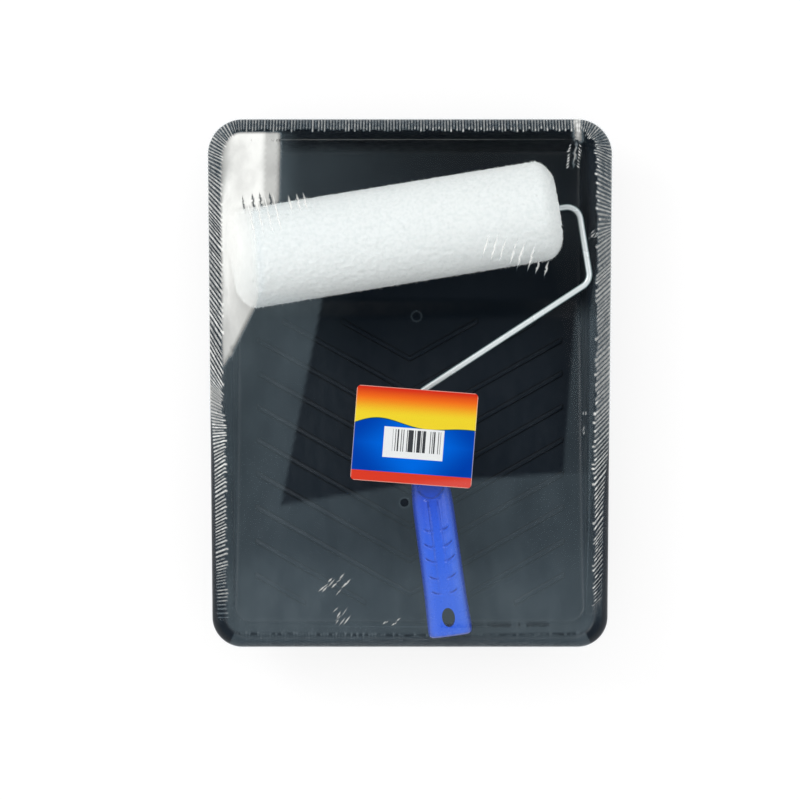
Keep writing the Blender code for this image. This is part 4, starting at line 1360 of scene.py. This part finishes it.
def sheet_creases():
    """Creases where the film is pulled over the sleeve's ends, at one corner and at the foot; the pale
    ones are painted glints.
    """
    draw = random.Random(SEED + 1)
    creases = Creases()

    def at(x, y):
        return Vector((x * MM, y * MM))

    for x, width in DARK_CREASES:
        edge = line_at(SLEEVE_EDGE, x)
        top = at(x - 1.2, edge + draw.uniform(10, 13))
        creases.add(at(x + 1.0, edge - 1), top, width * MM, CREASE_DARK)
    for x in LONG_CREASES:
        edge = line_at(SLEEVE_EDGE, x)
        foot = at(x + 6.0, edge + draw.uniform(-24, -19))
        top = at(x - 2.0, edge + draw.uniform(9, 13))
        creases.add(foot, top, 1.3 * MM, draw.uniform(0.8, 1.0))
    for x in SHORT_CREASES:
        edge = line_at(SLEEVE_EDGE, x)
        creases.add(at(x + 2.0, edge - 7), at(x - 1.6, edge + 7), 2.0 * MM, draw.uniform(0.8, 1.0))
    for index in range(8):
        tall = 20.0 if index < 6 else 11.0
        foot = at(48.5 + 6.2 * index + draw.uniform(-0.6, 0.6), 84.0 - 1.6 * index)
        creases.add(foot, foot + at(0.3 * tall, tall), 1.8 * MM, draw.uniform(0.8, 1.0))
    creases.add(at(116.0, 169), at(112.6, 148), 5.0 * MM, 0.45)
    for index in range(8):
        for side in (-1, 1):
            root = at(114.6 + side * 2.4 - 0.3 * index, 166.0 - 2.2 * index)
            tip = root + at(side * draw.uniform(2.0, 3.6), draw.uniform(-3.6, -2.0))
            creases.add(root, tip, 1.0 * MM, draw.uniform(0.5, 1.0))
    for centre, spread, count, length, angle, width in CREASE_GROUPS:
        creases.group(draw, at(*centre), at(*spread), count, length * MM, angle, width * MM)
    return creases


def add_sheet(bm, tree, values, inner_row):
    """The taut sheet inside the band, joined to its last row, with creases and vent holes."""
    points = [v.co.xy for v in inner_row]
    count = len(points)
    edges = [(i, (i + 1) % count) for i in range(count)]
    levels = {}
    creases = sheet_creases()
    base = len(points)
    points += creases.points
    for index, level in enumerate(creases.levels):
        levels[base + index] = level
    edges += [(a + base, b + base) for a, b in creases.edges]
    for x, y in VENTS:
        start = len(points)
        for share, level in VENT_RINGS:
            for step in range(VENT_STEPS):
                angle = 2 * pi * step / VENT_STEPS
                levels[len(points)] = level
                points.append(Vector((x + VENT_RADIUS * share * cos(angle),
                                      y + VENT_RADIUS * share * sin(angle))))
        edges += [(start + i, start + (i + 1) % VENT_STEPS) for i in range(VENT_STEPS)]
    rows = int((TRAY_HIGH.y - TRAY_LOW.y) / FILM_GRID)
    columns = int(2 * TRAY_HIGH.x / FILM_GRID)
    for row in range(rows + 1):
        for column in range(columns + 1):
            x = -TRAY_HIGH.x + column * FILM_GRID + (FILM_GRID / 2 if row % 2 else 0)
            y = TRAY_LOW.y + row * FILM_GRID
            if inside_band(x, y, 2.5 * MM) and clear_of_vents(x, y):
                points.append(Vector((x, y)))
    made = delaunay_2d_cdt(points, edges, [], 0, 0.00001)
    places, faces, origins = made[0], made[2], made[3]
    verts = []
    for place, origin in zip(places, origins):
        known = [o for o in origin if o < count]
        if known:
            verts.append(inner_row[known[0]])
            continue
        level = max([levels.get(o, 0.0) for o in origin], default=0.0, key=abs)
        z = film_base(tree, place.x, place.y) + CREASE_LIFT * min(1.0, abs(level))
        verts.append(bm.verts.new((place.x, place.y, z)))
        values.append(min(1.0, max(0.0, sheen(place.x, place.y) + level)))
    for face in faces:
        middle = sum((places[i] for i in face), Vector((0, 0))) / len(face)
        if any((middle - Vector(vent)).length < VENT_RADIUS for vent in VENTS):
            continue
        corners = [verts[i] for i in face]
        if len(set(corners)) == 3:
            bm.faces.new(corners)


def inside_band(x, y, margin):
    """Whether a place lies inside the band's inner edge by a margin."""
    share = (y - TRAY_LOW.y) / (TRAY_HIGH.y - TRAY_LOW.y)
    half = mix(TRAY_HALF_SHALLOW, TRAY_HIGH.x, share) - FILM_BAND - margin
    low = TRAY_LOW.y + FILM_BAND + margin
    high = TRAY_HIGH.y - FILM_BAND - margin
    if abs(x) > half or y < low or y > high:
        return False
    dx = abs(x) - (half - FILM_CORNER)
    dy = max(low + FILM_CORNER - y, y - (high - FILM_CORNER))
    return dx < 0 or dy < 0 or dx * dx + dy * dy < FILM_CORNER ** 2


def clear_of_vents(x, y):
    return all((Vector((x, y)) - Vector(vent)).length > 1.9 * VENT_RADIUS for vent in VENTS)


def build_film():
    cad = FRAME["nodes"]["shrink_film"]
    tree = BVHTree.FromPolygons(
        [v.co for v in cad.data.vertices], [p.vertices[:] for p in cad.data.polygons],
    )
    bm = bmesh.new()
    values = []
    inner_row = add_band(bm, tree, values)
    add_sheet(bm, tree, values, inner_row)
    bmesh.ops.recalc_face_normals(bm, faces=bm.faces)
    mesh = mesh_from(bm, "film")
    haze_and_sheen = mesh.attributes.new("haze_and_sheen", "FLOAT", "POINT")
    haze_and_sheen.data.foreach_set("value", values)
    piece("film_wrap", mesh, "film", clear_film(), ("shrink_film",), sharp=60)


# ---------------------------------------------------------------- studio

def build_floor():
    bm = bmesh.new()
    bmesh.ops.create_grid(bm, x_segments=1, y_segments=1, size=FLOOR_SIZE / 2)
    f = Finish("studio_floor", own_place=False)
    f.set(base_color=(0.25, 0.25, 0.25, 1), roughness=0.9, specular_ior_level=0.0,
          emission_color=(1, 1, 1, 1), emission_strength=FLOOR_GLOW)
    f.material.cycles.emission_sampling = "NONE"
    mesh = mesh_from(bm, "studio_floor")
    mesh.materials.append(f.material)
    floor = helper_object("studio_floor", mesh, Matrix.Translation((0, 0, -0.2 * MM)))


def build_world():
    """White surroundings for the camera only: the lamps and the mirror shell do the lighting."""
    world = bpy.data.worlds.new("studio")
    bpy.context.scene.world = world
    world.use_nodes = True
    background = world.node_tree.nodes["Background"]
    background.inputs["Color"].default_value = (1, 1, 1, 1)
    world.cycles_visibility.diffuse = False
    world.cycles_visibility.glossy = False


def area_lamp(name, shape, place, size, power):
    """A flat lamp that faces the frame's origin."""
    data = bpy.data.lights.new(name, "AREA")
    data.shape = shape
    data.size = size
    data.energy = power
    lamp = helper_object(name, data)
    lamp.location = place
    lamp.rotation_euler = (-Vector(place)).to_track_quat("-Z", "Y").to_euler()
    return lamp


def build_lamps():
    """Even white light over everything, which shiny surfaces don't mirror, and two soft boxes."""
    sky = area_lamp("sky", "SQUARE", (0, 0, SKY_HEIGHT), SKY_SIZE, SKY_POWER)
    sky.data.cycles.use_multiple_importance_sampling = False
    sky.visible_camera = False
    sky.visible_glossy = False
    for name, place, size, power in SOFTBOXES:
        area_lamp(name, "DISK", place, size, power)


def build_mirror_shell():
    """What shiny surfaces mirror: dark overhead, where the camera is, and bright all round."""
    bm = bmesh.new()
    bmesh.ops.create_uvsphere(bm, u_segments=48, v_segments=32, radius=SHELL_RADIUS)
    f = Finish("mirror_shell", own_place=False)
    bright_from, dark_from = (SHELL_RADIUS * cos(radians(angle)) for angle in SHELL_RING)
    strength = f.smooth(f.axes()[2], bright_from, dark_from, *SHELL_GLOW)
    glow = f.add("ShaderNodeEmission", {"Strength": strength}).outputs[0]
    f.links.new(glow, f.output.inputs["Surface"])
    f.material.cycles.emission_sampling = "NONE"
    mesh = mesh_from(bm, "mirror_shell")
    mesh.materials.append(f.material)
    shell = helper_object("mirror_shell", mesh)
    shell.visible_camera = False
    shell.visible_diffuse = False
    shell.visible_transmission = False
    shell.visible_shadow = False


def build_camera():
    data = bpy.data.cameras.new("camera")
    data.sensor_width = SENSOR
    data.lens = SENSOR * CAMERA_REACH / CAMERA_SPAN
    camera = helper_object("camera", data)
    camera.location = CAMERA_PLACE
    bpy.context.scene.camera = camera


def build_studio():
    build_floor()
    build_world()
    build_mirror_shell()
    build_lamps()
    build_camera()
    bpy.context.scene.view_settings.view_transform = "Standard"


# ---------------------------------------------------------------- assembly

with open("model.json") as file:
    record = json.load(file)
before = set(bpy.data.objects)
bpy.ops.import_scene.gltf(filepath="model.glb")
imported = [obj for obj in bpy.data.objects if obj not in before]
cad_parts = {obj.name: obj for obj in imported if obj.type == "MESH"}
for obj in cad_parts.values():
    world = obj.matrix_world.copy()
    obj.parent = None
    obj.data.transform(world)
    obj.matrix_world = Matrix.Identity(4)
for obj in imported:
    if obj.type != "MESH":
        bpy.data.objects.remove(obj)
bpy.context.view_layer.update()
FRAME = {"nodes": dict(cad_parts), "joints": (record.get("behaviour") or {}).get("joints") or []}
TRAY_LOW, TRAY_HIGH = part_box("tray")
ZINC = zinc_wire()


def finish_cad_nodes():
    """Gives each CAD node that stays its procedural finish."""
    cage = cage_plastic()
    nylon = bush_nylon()
    finishes = {"sleeve_core": core_board(), "cage_cap_arm": cage, "cage_cap_far": cage,
                "cage_ring": cage, "axle_bush_arm": nylon, "axle_bush_far": nylon,
                "thrust_washer": ZINC, "stop_collar": ZINC, "push_nut": ZINC}
    for index in range(5):
        finishes[f"cage_wire_{index + 1}"] = ZINC
    for name, finish in finishes.items():
        for slot in FRAME["nodes"][name].material_slots:
            slot.material = finish


def main():
    axle = axle_frame()
    build_tray()
    build_pile(axle)
    build_wire(axle)
    build_handle(axle)
    build_label()
    build_film()
    finish_cad_nodes()
    build_studio()


main()
